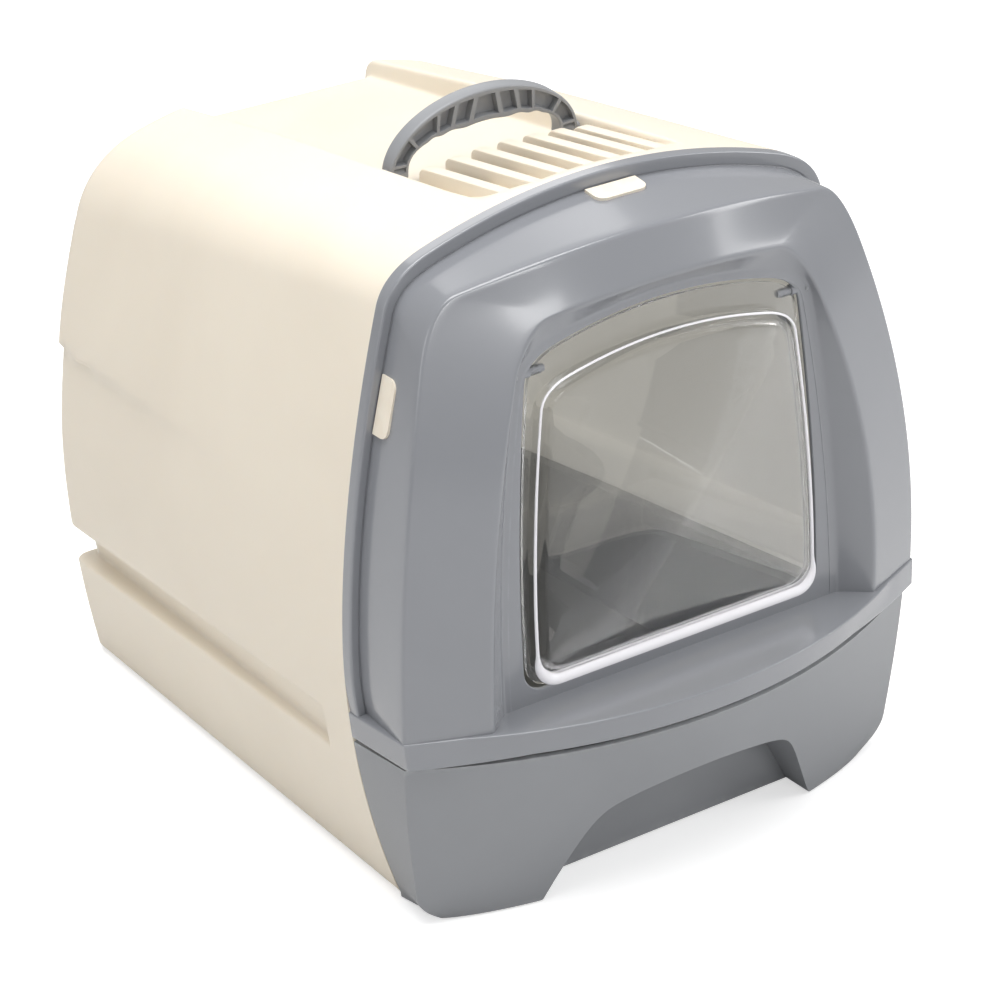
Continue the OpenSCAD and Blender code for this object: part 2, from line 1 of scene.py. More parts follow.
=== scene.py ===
"""Hooded cat litter box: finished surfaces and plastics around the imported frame.

Lengths inside the classes are millimetres in the frame's own axes, with Y = 0 on the joint
between the housing and the front frame; Skin moves them to the shared frame in metres.
"""
import logging
import math
from collections.abc import Callable
from dataclasses import dataclass, field
from enum import Enum

import bmesh
import bpy
import numpy as np
from mathutils import Matrix, Vector


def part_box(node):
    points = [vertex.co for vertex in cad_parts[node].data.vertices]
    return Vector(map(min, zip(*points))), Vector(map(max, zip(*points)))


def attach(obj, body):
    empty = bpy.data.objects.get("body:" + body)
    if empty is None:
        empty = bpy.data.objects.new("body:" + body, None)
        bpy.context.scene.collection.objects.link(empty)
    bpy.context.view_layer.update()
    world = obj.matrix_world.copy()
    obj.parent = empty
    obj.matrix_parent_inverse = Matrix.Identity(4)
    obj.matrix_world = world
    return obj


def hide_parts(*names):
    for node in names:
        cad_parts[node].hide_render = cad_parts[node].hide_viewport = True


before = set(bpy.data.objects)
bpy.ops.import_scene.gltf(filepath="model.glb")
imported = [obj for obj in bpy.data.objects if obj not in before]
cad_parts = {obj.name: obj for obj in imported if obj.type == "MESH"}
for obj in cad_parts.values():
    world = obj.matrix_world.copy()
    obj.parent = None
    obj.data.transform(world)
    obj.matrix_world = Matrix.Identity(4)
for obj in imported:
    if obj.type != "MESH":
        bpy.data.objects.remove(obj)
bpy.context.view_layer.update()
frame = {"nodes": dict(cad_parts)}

Array = np.ndarray
log = logging.getLogger("litter_box")
MM = 0.001
JOINT_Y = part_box("front_bezel")[1].y
HALF_W, HEIGHT = 220.0, 487.0
CROWN_CURVE = 878.0  # twice the radius of the crown: it falls by x squared over this
HINGE_Y, HINGE_Z = -64.0, 391.0
CRISP_ANGLE = 38.0  # edges that turn by more degrees than this stay crisp


class Body(Enum):
    """The moving bodies of the litter box."""

    BOX = "box_body"
    DOOR = "door"
    DRAWER = "drawer"
    HANDLE = "handle"


class Slot(Enum):
    """Names of the record's material slots."""

    SHELL = "cream_shell"
    GLOSS = "grey_gloss"
    SATIN = "grey_satin"
    CLEAR = "clear_door"


# ---------------------------------------------------------------- numbers to surfaces
def ease(t: Array) -> Array:
    """Smooth 0 to 1 step, 3t^2 - 2t^3, with t held between 0 and 1."""
    t = np.clip(t, 0.0, 1.0)
    return t * t * (3.0 - 2.0 * t)


def mix(a: Array, b: Array, t: Array) -> Array:
    """Straight blend from a to b."""
    return a * (1.0 - t) + b * t


def rounded(corners: list[Array], radii: list, steps: list[int], arc: int = 5) -> Array:
    """A path through corner points with each inner corner rounded.

    Between corners the path is straight; near a corner q it is the quadratic curve
    (1-t)^2 p + 2t(1-t) q + t^2 r, from p to r, both one radius away from q.

    Args:
        corners: points, each (dims, n), one path per column n.
        radii: rounding at every corner; the first and last are unused.
        steps: samples on each straight part.
        arc: samples on each rounded part.

    Returns:
        Rows of the surface, (rows, dims, n).
    """
    last = len(corners) - 1
    enter, leave = [corners[0]], [corners[0]]
    for i in range(1, last):
        q = corners[i]
        a, b = corners[i - 1] - q, corners[i + 1] - q
        la = np.maximum(np.linalg.norm(a, axis=0), 1e-6)
        lb = np.maximum(np.linalg.norm(b, axis=0), 1e-6)
        cut = np.minimum(radii[i], 0.45 * np.minimum(la, lb))
        enter.append(q + a / la * cut)
        leave.append(q + b / lb * cut)
    enter.append(corners[last])
    rows = [corners[0][None]]
    for i in range(1, last + 1):
        t = (np.arange(steps[i - 1]) + 1.0)[:, None, None] / steps[i - 1]
        rows.append(mix(leave[i - 1][None], enter[i][None], t))
        if i < last:
            t = (np.arange(arc) + 1.0)[:, None, None] / arc
            q = corners[i][None]
            rows.append(enter[i][None] * (1 - t) ** 2 + 2 * t * (1 - t) * q
                        + leave[i][None] * t * t)
    return np.concatenate(rows)


# An arch is an array of ten numbers, in the order of these names.
FOOT_X, FOOT_Z, BELLY_X, BELLY_Z, SHOULDER_X, SHOULDER_Z, CORNER_X, CROWN_Z, BOW, POWER = range(10)


def crown_at(a: Array, x: Array) -> Array:
    """Height of an arch's crown, which falls as bow times x squared."""
    return a[CROWN_Z] - a[BOW] * x * x


def flank_at(a: Array, z: Array) -> Array:
    """Half-width of an arch's flank: a parabola below the belly, a power curve above it.

    Args:
        a: the arch, (10,) or (10, n).
        z: heights.

    Returns:
        X of the flank at every height.
    """
    below = np.clip((a[BELLY_Z] - z) / (a[BELLY_Z] - a[FOOT_Z]), 0, None)
    above = np.clip((z - a[BELLY_Z]) / (a[SHOULDER_Z] - a[BELLY_Z]), 0, None)
    low = a[BELLY_X] - (a[BELLY_X] - a[FOOT_X]) * below ** 2
    high = a[BELLY_X] - (a[BELLY_X] - a[SHOULDER_X]) * above ** a[POWER]
    return np.where(z < a[BELLY_Z], low, high)


def corner_curve(a: Array, n: int) -> Array:
    """The rounded corner from shoulder to crown: a quadratic curve whose middle point is where
    the two end tangents meet.

    Args:
        a: the arch, (10,) or (10, columns).
        n: number of points.

    Returns:
        Points (n, 2) or (n, 2, columns), the first at the shoulder, the last one step short.
    """
    m = -a[POWER] * (a[BELLY_X] - a[SHOULDER_X]) / (a[SHOULDER_Z] - a[BELLY_Z])
    s = -2 * a[BOW] * a[CORNER_X]
    end = crown_at(a, a[CORNER_X])
    z = (end + s * (a[SHOULDER_X] - m * a[SHOULDER_Z] - a[CORNER_X])) / (1 - s * m)
    x = a[SHOULDER_X] + m * (z - a[SHOULDER_Z])
    p = np.stack([a[SHOULDER_X], a[SHOULDER_Z]])
    q = np.stack([x, z])
    r = np.stack([a[CORNER_X], end])
    t = (np.arange(n) / n).reshape((n,) + (1,) * p.ndim)
    return p * (1 - t) ** 2 + q * 2 * t * (1 - t) + r * t * t


def inset(a: Array, d: float) -> Array:
    """An arch drawn d inside another: the flank by d, the corner by half of it.

    Args:
        a: the outer arch.
        d: how far inside, or outside if it is negative.

    Returns:
        The new arch.
    """
    b = np.array(a, float)
    b[[FOOT_X, BELLY_X, SHOULDER_X, CROWN_Z]] -= d
    b[[SHOULDER_Z, CORNER_X]] -= d / 2
    return b


# Samples on an arch: below the belly, above it, round the corner and along half the crown.
LOW, HIGH, CORNER, CROWN = 10, 34, 26, 20


def half_arch(a: Array) -> Array:
    """The right half of an arch: foot, belly, shoulder, corner, middle of the crown.

    Args:
        a: the arch, (10,).

    Returns:
        Points (2, n).
    """
    z = np.concatenate([
        mix(a[FOOT_Z], a[BELLY_Z], np.arange(LOW) / LOW),
        mix(a[BELLY_Z], a[SHOULDER_Z], np.arange(HIGH) / HIGH)])
    flank = np.stack([flank_at(a, z), z])
    x = a[CORNER_X] * (1 - np.arange(CROWN + 1) / CROWN)
    return np.concatenate([flank, corner_curve(a, CORNER).T, np.stack([x, crown_at(a, x)])], 1)


def full_arch(a: Array) -> Array:
    """A whole arch, from the right foot over the crown to the left foot, (2, n)."""
    half = half_arch(a)
    return np.concatenate([half, (half * [[-1], [1]])[:, -2::-1]], 1)


def lathe(profile: list[tuple], side: int, y: float = 0.0, z: float = 0.0) -> Array:
    """A round part about an axis along X: a profile point (x, r) becomes the ring
    (side x, y + r cos t, z + r sin t).

    Args:
        profile: (x, r) pairs, from the axis round to the axis.
        side: 1 for the right one, -1 for the left one.
        y: the axis's Y.
        z: the axis's height.

    Returns:
        Rings (rows, 32, 3), for a grid whose columns close.
    """
    t = np.linspace(0, 2 * math.pi, 33)[:-1]
    return np.stack([np.stack([np.full_like(t, side * x), y + r * np.cos(t), z + r * np.sin(t)], -1)
                     for x, r in profile])


def solid_points(outline: Array, y: Array | float) -> Array:
    """An outline in X and Z given its Y, as (3, n)."""
    return np.stack([outline[0], np.broadcast_to(y, outline[0].shape), outline[1]])


@dataclass
class Skin:
    """Grids of points that are welded into one mesh."""

    points: list[Array] = field(default_factory=list)
    faces: list[Array] = field(default_factory=list)
    count: int = 0

    def grid(self, p: Array, loop_rows: bool = False, loop_cols: bool = False,
             keep: Array | None = None) -> None:
        """Adds a grid of points as quads.

        Args:
            p: points in millimetres, (rows, cols, 3).
            loop_rows: the last row joins the first.
            loop_cols: the last column joins the first.
            keep: which quads to keep, (rows, cols) or one less each way.
        """
        rows, cols = p.shape[:2]
        i = np.arange(rows if loop_rows else rows - 1)[:, None]
        j = np.arange(cols if loop_cols else cols - 1)[None, :]
        i2, j2 = (i + 1) % rows, (j + 1) % cols
        quads = np.stack([i * cols + j, i * cols + j2, i2 * cols + j2, i2 * cols + j], -1)
        quads = quads[keep] if keep is not None else quads.reshape(-1, 4)
        self.points.append(p.reshape(-1, 3))
        self.faces.append(quads + self.count)
        self.count += rows * cols

    def mirrored(self) -> None:
        """Repeats every grid so far on the other side of X = 0."""
        self.points += [p * [-1, 1, 1] for p in self.points]
        self.faces += [f[:, ::-1] + self.count for f in self.faces]
        self.count *= 2

    def mesh(self, name: str) -> bpy.types.Mesh:
        """Welds the grids, drops faces that shrank to a line and turns the rest outwards.

        Args:
            name: the mesh's name, which is the piece's name too.

        Returns:
            The mesh, in metres in the shared frame.
        """
        p = np.concatenate(self.points) * MM + [0, JOINT_Y, 0]
        verts, back = np.unique(np.round(p, 7), axis=0, return_inverse=True)
        f = back.reshape(-1)[np.concatenate(self.faces)]
        same = f == np.roll(f, -1, 1)
        crossed = (f[:, 0] == f[:, 2]) | (f[:, 1] == f[:, 3])
        whole = f[(same.sum(1) == 0) & ~crossed]
        shrunk = (same.sum(1) == 1) & ~crossed
        three = f[shrunk][~same[shrunk]].reshape(-1, 3)
        mesh = bpy.data.meshes.new(name)
        mesh.from_pydata(verts.tolist(), [], whole.tolist() + three.tolist())
        work = bmesh.new()
        work.from_mesh(mesh)
        bmesh.ops.recalc_face_normals(work, faces=work.faces)
        work.to_mesh(mesh)
        work.free()
        return mesh


def shell_grids(skin: Skin, front: Array, back: Array) -> None:
    """Adds a closed sheet made of two matched surfaces and the strips that join their edges.

    Args:
        skin: what to add it to.
        front: the outer surface, (rows, cols, 3).
        back: the inner surface, point for point behind it.
    """
    skin.grid(np.concatenate([front, back[::-1]]), loop_rows=True)
    for c in (0, -1):
        skin.grid(np.stack([front[:, c], back[:, c]]))


def rows_to_grid(rows: Array) -> Array:
    """(rows, 3, n) from a path function as the (rows, n, 3) that a grid takes."""
    return np.moveaxis(rows, 1, 2)


def finish_piece(mesh: bpy.types.Mesh, body: Body, material: bpy.types.Material,
                 nodes: tuple[str, ...] = (), wall: float = 0.0,
                 inside: bpy.types.Material | None = None) -> bpy.types.Object:
    """Makes a mesh a finished piece that rides on a body.

    Args:
        mesh: the welded mesh.
        body: the body that it moves with.
        material: what it is made of.
        nodes: CAD nodes that it stands for.
        wall: thickness to grow inwards, in millimetres, or 0 for a closed mesh.
        inside: what the inner side of the wall looks like, if not the same.

    Returns:
        The new object.
    """
    piece = bpy.data.objects.new(mesh.name, mesh)
    bpy.context.scene.collection.objects.link(piece)
    mesh.materials.append(material)
    if inside:
        mesh.materials.append(inside)
    if wall:
        solid = piece.modifiers.new("wall", "SOLIDIFY")
        solid.thickness = wall * MM
        solid.offset = -1
        solid.material_offset = 1 if inside else 0
        bpy.context.view_layer.update()
        graph = bpy.context.evaluated_depsgraph_get()
        thick = bpy.data.meshes.new_from_object(piece.evaluated_get(graph))
        thick.name = mesh.name
        piece.modifiers.clear()
        piece.data = thick
    side = np.zeros(len(piece.data.polygons), np.int32)
    piece.data.polygons.foreach_get("material_index", side)
    piece.data.materials.clear()
    for finish in (material, inside) if inside else (material,):
        piece.data.materials.append(finish)
    piece.data.polygons.foreach_set("material_index", side)
    piece.data.polygons.foreach_set("use_smooth", np.ones(len(piece.data.polygons), bool))
    piece.data.set_sharp_from_angle(angle=math.radians(CRISP_ANGLE))
    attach(piece, body.value)
    if nodes:
        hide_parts(*nodes)
    log.info("%s: %d faces on %s", piece.name, len(piece.data.polygons), body.value)
    return piece


def dress(names: tuple[str, ...], material: bpy.types.Material) -> None:
    """Gives CAD nodes that stay in view their finish.

    Args:
        names: the nodes.
        material: what they are made of.
    """
    for name in names:
        slots = frame["nodes"][name].data.materials
        slots.clear()
        slots.append(material)


# ---------------------------------------------------------------- finishes
def feed(tree: bpy.types.NodeTree, node: bpy.types.Node, inputs: dict) -> None:
    """Fills a node's sockets.

    Args:
        tree: the node's tree.
        node: the node.
        inputs: socket name or number to a value, or to the socket that feeds it.
    """
    for key, value in inputs.items():
        if isinstance(value, bpy.types.NodeSocket):
            tree.links.new(value, node.inputs[key])
        else:
            node.inputs[key].default_value = value


def put(tree: bpy.types.NodeTree, kind: str, inputs: dict | None = None, **settings: object
        ) -> bpy.types.Node:
    """Adds a node.

    Args:
        tree: the tree to add to.
        kind: the node's type.
        inputs: what fills its sockets, as for feed().
        **settings: the node's own properties.

    Returns:
        The node.
    """
    node = tree.nodes.new(kind)
    for key, value in settings.items():
        setattr(node, key, value)
    feed(tree, node, inputs or {})
    return node


def calc(tree: bpy.types.NodeTree, operation: str, *values: object, clamp: bool = False
         ) -> bpy.types.NodeSocket:
    """The result of a Math node.

    Args:
        tree: the tree to add to.
        operation: what it works out.
        *values: numbers or sockets.
        clamp: holds the result between 0 and 1.

    Returns:
        The result's socket.
    """
    return put(tree, "ShaderNodeMath", dict(enumerate(values)), operation=operation,
               use_clamp=clamp).outputs[0]


def noise(tree: bpy.types.NodeTree, scale: object, detail: float, roughness: float = 0.5,
          distortion: float = 0.0) -> bpy.types.NodeSocket:
    """Noise over the piece's own coordinates.

    Args:
        tree: the tree to add to.
        scale: noise cells per metre, a number or a socket.
        detail: number of finer layers.
        roughness: strength of the finer layers.
        distortion: how much the cells are warped.

    Returns:
        The noise's value socket.
    """
    at = put(tree, "ShaderNodeTexCoord").outputs["Object"]
    return put(tree, "ShaderNodeTexNoise", {
        "Vector": at, "Scale": scale, "Detail": detail, "Roughness": roughness,
        "Distortion": distortion}).outputs["Fac"]


def spread(tree: bpy.types.NodeTree, value: bpy.types.NodeSocket, low: float, high: float,
           to_low: float = 0.0, to_high: float = 1.0) -> bpy.types.NodeSocket:
    """A value moved in a straight line from one range to another, and held there.

    Args:
        tree: the tree to add to.
        value: the value's socket.
        low: what becomes to_low.
        high: what becomes to_high.
        to_low: the new range's start.
        to_high: the new range's end.

    Returns:
        The result's socket.
    """
    return put(tree, "ShaderNodeMapRange", {"Value": value, "From Min": low, "From Max": high,
                                            "To Min": to_low, "To Max": to_high}).outputs[0]


def group_tree(name: str, inputs: list[tuple], outputs: list[tuple]) -> tuple:
    """A new shader node group with its named sockets.

    Args:
        name: the group's name.
        inputs: (name, socket type, default) of each input.
        outputs: (name, socket type) of each output.

    Returns:
        The tree, its input node and its output node.
    """
    tree = bpy.data.node_groups.new(name, "ShaderNodeTree")
    for label, kind, default in inputs:
        socket = tree.interface.new_socket(label, in_out="INPUT", socket_type=kind)
        socket.default_value = default
    for label, kind in outputs:
        tree.interface.new_socket(label, in_out="OUTPUT", socket_type=kind)
    return tree, tree.nodes.new("NodeGroupInput"), tree.nodes.new("NodeGroupOutput")


F, C = "NodeSocketFloat", "NodeSocketColor"


def grain_group() -> bpy.types.NodeTree:
    """Moulded grain: two sizes of noise added together, as a height.

    Returns:
        The group.
    """
    tree, gi, go = group_tree("Moulded grain", [("Scale", F, 900.0), ("Coarse", F, 0.35)],
                              [("Height", F)])
    scale = gi.outputs["Scale"]
    fine = noise(tree, scale, 3.0, 0.6)
    wide = noise(tree, calc(tree, "MULTIPLY", scale, 0.045), 2.0)
    part = calc(tree, "MULTIPLY", wide, gi.outputs["Coarse"])
    feed(tree, go, {"Height": calc(tree, "ADD", fine, part)})
    return tree


def film_group(name: str, second: str, amount: tuple, mask: Callable) -> bpy.types.NodeTree:
    """A group that blends a colour into a second one by a mask, and gives out both.

    Args:
        name: the group's name.
        second: the second colour's socket name.
        amount: (name, default) of each number that it takes.
        mask: works out the mask's socket from the tree and the input node.

    Returns:
        The group.
    """
    white = (1, 1, 1, 1)
    tree, gi, go = group_tree(name, [("Colour", C, white), (second, C, white)]
                              + [(label, F, default) for label, default in amount],
                              [("Colour", C), ("Mask", F)])
    part = mask(tree, gi)
    blend = put(tree, "ShaderNodeMix", {0: part, 6: gi.outputs["Colour"], 7: gi.outputs[second]},
                data_type="RGBA")
    feed(tree, go, {"Colour": blend.outputs[2], "Mask": part})
    return tree


def tone_mask(tree: bpy.types.NodeTree, gi: bpy.types.Node) -> bpy.types.NodeSocket:
    """Flow of colour in a moulding: a wide, soft noise plus a fine speckle.

    Args:
        tree: the group's tree.
        gi: its input node.

    Returns:
        The mask's socket.
    """
    wide = spread(tree, noise(tree, gi.outputs["Scale"], 4.0, 0.55, 0.6), 0.32, 0.68)
    dots = calc(tree, "MULTIPLY", noise(tree, 1400.0, 1.0), gi.outputs["Speckle"])
    return calc(tree, "ADD", wide, dots, clamp=True)


def wear_mask(tree: bpy.types.NodeTree, gi: bpy.types.Node) -> bpy.types.NodeSocket:
    """Edge wear: where the surface turns a convex edge, broken up by noise.

    Args:
        tree: the group's tree.
        gi: its input node.

    Returns:
        The mask's socket.
    """
    turn = put(tree, "ShaderNodeNewGeometry").outputs["Pointiness"]
    broken = spread(tree, noise(tree, 90.0, 4.0), 0.35, 0.7)
    both = calc(tree, "MULTIPLY", spread(tree, turn, 0.535, 0.62), broken)
    return calc(tree, "MULTIPLY", both, gi.outputs["Amount"])


def dust_mask(tree: bpy.types.NodeTree, gi: bpy.types.Node) -> bpy.types.NodeSocket:
    """Dust film: settles where the surface faces up, in uneven patches.

    Args:
        tree: the group's tree.
        gi: its input node.

    Returns:
        The mask's socket.
    """
    normal = put(tree, "ShaderNodeNewGeometry").outputs["Normal"]
    up = put(tree, "ShaderNodeSeparateXYZ", {0: normal}).outputs["Z"]
    both = calc(tree, "MULTIPLY", spread(tree, up, 0.3, 1.0), noise(tree, 26.0, 5.0))
    return calc(tree, "MULTIPLY", both, gi.outputs["Amount"])


def surface_groups() -> dict[str, bpy.types.NodeTree]:
    """The node groups that the plastics share.

    Returns:
        Each group by its name.
    """
    return {"grain": grain_group(),
            "tone": film_group("Moulding tone", "Shade", (("Scale", 4.0), ("Speckle", 0.1)),
                               tone_mask),
            "wear": film_group("Edge wear", "Worn", (("Amount", 0.4),), wear_mask),
            "dust": film_group("Dust film", "Dust", (("Amount", 0.1),), dust_mask)}


Rgb = tuple[float, float, float]


def rgba(colour: Rgb) -> tuple[float, float, float, float]:
    """A display colour, 0 to 1, as the linear colour that a shader takes."""
    linear = [c / 12.92 if c <= 0.04045 else ((c + 0.055) / 1.055) ** 2.4 for c in colour]
    return (*linear, 1.0)


def blank(name: str) -> tuple[bpy.types.Material, bpy.types.NodeTree, bpy.types.Node]:
    """A new material.

    Args:
        name: the material's name.

    Returns:
        The material, its tree and its Principled shader.
    """
    material = bpy.data.materials.new(name)
    material.use_nodes = True
    return material, material.node_tree, material.node_tree.nodes["Principled BSDF"]


DUST = (0.93, 0.92, 0.89)


@dataclass(frozen=True)
class Plastic:
    """A moulded plastic."""

    name: str
    colour: Rgb
    shade: Rgb
    worn: Rgb
    rough: float = 0.4
    rough_spread: float = 0.08
    grain: float = 900.0
    bump: float = 0.04
    bump_depth: float = 0.00006
    wear: float = 0.35
    dust: float = 0.08
    tone_scale: float = 4.0
    coat: float = 0.0
    subsurface: float = 0.0
    # Emission of the surface's own colour: painted light, for a part that is no lamp.
    painted_glow: float = 0.0

    def build(self, groups: dict[str, bpy.types.NodeTree]) -> bpy.types.Material:
        """The material: tone, edge wear and dust in turn feed the colour; grain feeds the bump; a glow,
        if set, paints light as emission.

        Args:
            groups: the shared node groups.

        Returns:
            The material.
        """
        material, tree, shader = blank(self.name)
        tone = put(tree, "ShaderNodeGroup", {
            "Colour": rgba(self.colour), "Shade": rgba(self.shade), "Scale": self.tone_scale},
            node_tree=groups["tone"])
        wear = put(tree, "ShaderNodeGroup", {
            "Colour": tone.outputs["Colour"], "Worn": rgba(self.worn), "Amount": self.wear},
            node_tree=groups["wear"])
        dust = put(tree, "ShaderNodeGroup", {
            "Colour": wear.outputs["Colour"], "Dust": rgba(DUST), "Amount": self.dust},
            node_tree=groups["dust"])
        rough = calc(tree, "MULTIPLY_ADD", tone.outputs["Mask"], self.rough_spread, self.rough)
        film = calc(tree, "MULTIPLY_ADD", dust.outputs["Mask"], 0.6, rough, clamp=True)
        grain = put(tree, "ShaderNodeGroup", {"Scale": self.grain}, node_tree=groups["grain"])
        bump = put(tree, "ShaderNodeBump", {"Strength": self.bump, "Distance": self.bump_depth,
                                            "Height": grain.outputs["Height"]})
        feed(tree, shader, {
            "Base Color": dust.outputs["Colour"], "Roughness": film,
            "Normal": bump.outputs["Normal"], "Coat Weight": self.coat, "Coat Roughness": 0.12,
            "Subsurface Weight": self.subsurface, "Subsurface Radius": (0.004, 0.003, 0.002)})
        # Painted light: the surface glows in its own colour.
        if self.painted_glow:
            feed(tree, shader, {"Emission Color": dust.outputs["Colour"],
                                "Emission Strength": self.painted_glow})
        return material


@dataclass(frozen=True)
class ClearSheet:
    """The clear, vacuum-formed door sheet."""

    name: str = "clear_sheet"
    colour: Rgb = (0.96, 0.965, 0.975)
    rough: float = 0.02
    clear: float = 1.0
    body: float = 0.4
    lets_through: float = 0.95

    def build(self, groups: dict[str, bpy.types.NodeTree]) -> bpy.types.Material:
        """The material: clear plastic, fuller where it turns away, with fine scuffs.

        Alpha is (1 - lets_through m) b: m is 1 on shadow and diffuse rays, and b goes from body,
        seen squarely, to 1, seen from the side.

        Args:
            groups: the shared node groups.

        Returns:
            The material.
        """
        material, tree, shader = blank(self.name)
        turned = put(tree, "ShaderNodeLayerWeight", {"Blend": 0.5}).outputs["Facing"]
        seen = spread(tree, turned, 0.25, 0.8, self.body, 1.0)
        path = put(tree, "ShaderNodeLightPath").outputs
        lit = calc(tree, "MAXIMUM", path["Is Shadow Ray"], path["Is Diffuse Ray"])
        dim = calc(tree, "MULTIPLY_ADD", lit, -self.lets_through, 1.0)
        grain = put(tree, "ShaderNodeGroup", {"Scale": 14.0}, node_tree=groups["grain"])
        height = grain.outputs["Height"]
        bump = put(tree, "ShaderNodeBump", {"Strength": 0.01, "Distance": 0.00005,
                                            "Height": height})
        feed(tree, shader, {
            "Base Color": rgba(self.colour), "Transmission Weight": self.clear, "IOR": 1.46,
            "Specular IOR Level": 0.5, "Alpha": calc(tree, "MULTIPLY", dim, seen),
            "Roughness": spread(tree, height, 0.55, 1.1, self.rough, self.rough + 0.015),
            "Normal": bump.outputs["Normal"]})
        return material


CREAM = Plastic("cream_shell", (0.885, 0.845, 0.778), (0.905, 0.868, 0.803), (0.96, 0.94, 0.89),
                rough=0.38, bump=0.05, wear=0.25, dust=0.03, subsurface=0.12)
# The hood's inner wall: painted light, a greyer cream that glows to stand in for light coming in
# through the door and the thin shell.
INSIDE_PAINTED_LIGHT = Plastic("cream_inside_painted_light", (0.80, 0.79, 0.76), (0.82, 0.81, 0.78), (0.84, 0.83, 0.8),
                     rough=0.5, bump=0.03, wear=0.0, dust=0.0, painted_glow=0.3)
GREY_GLOSS = Plastic("grey_gloss", (0.505, 0.513, 0.532), (0.52, 0.528, 0.546), (0.78, 0.79, 0.81),
                     rough=0.22, rough_spread=0.03, bump=0.02, wear=0.2, coat=0.7, dust=0.0)
GREY_SATIN = Plastic("grey_satin", (0.52, 0.527, 0.54), (0.55, 0.557, 0.57), (0.72, 0.73, 0.74),
                     rough=0.34, bump=0.08, wear=0.4, dust=0.03)
DARK_GREY = Plastic("dark_grey", (0.3, 0.31, 0.32), (0.34, 0.35, 0.36), (0.5, 0.51, 0.52), rough=0.42,
                    bump=0.15, wear=0.3, dust=0.15)
CARBON = Plastic("carbon_foam", (0.06, 0.06, 0.065), (0.1, 0.1, 0.1), (0.14, 0.14, 0.14), rough=0.9,
                 grain=420.0, bump=0.9, bump_depth=0.0006, wear=0.1, dust=0.1)
CLEAR = ClearSheet()
# The door's bead: a near-white, mostly opaque sheet whose whiteness paints the bright highlight along
# the clear lip.
CLEAR_BEAD_PAINTED_HIGHLIGHT = ClearSheet("clear_bead_painted_highlight", (0.99, 0.985, 1.0), rough=0.05, clear=0.35, body=0.95)


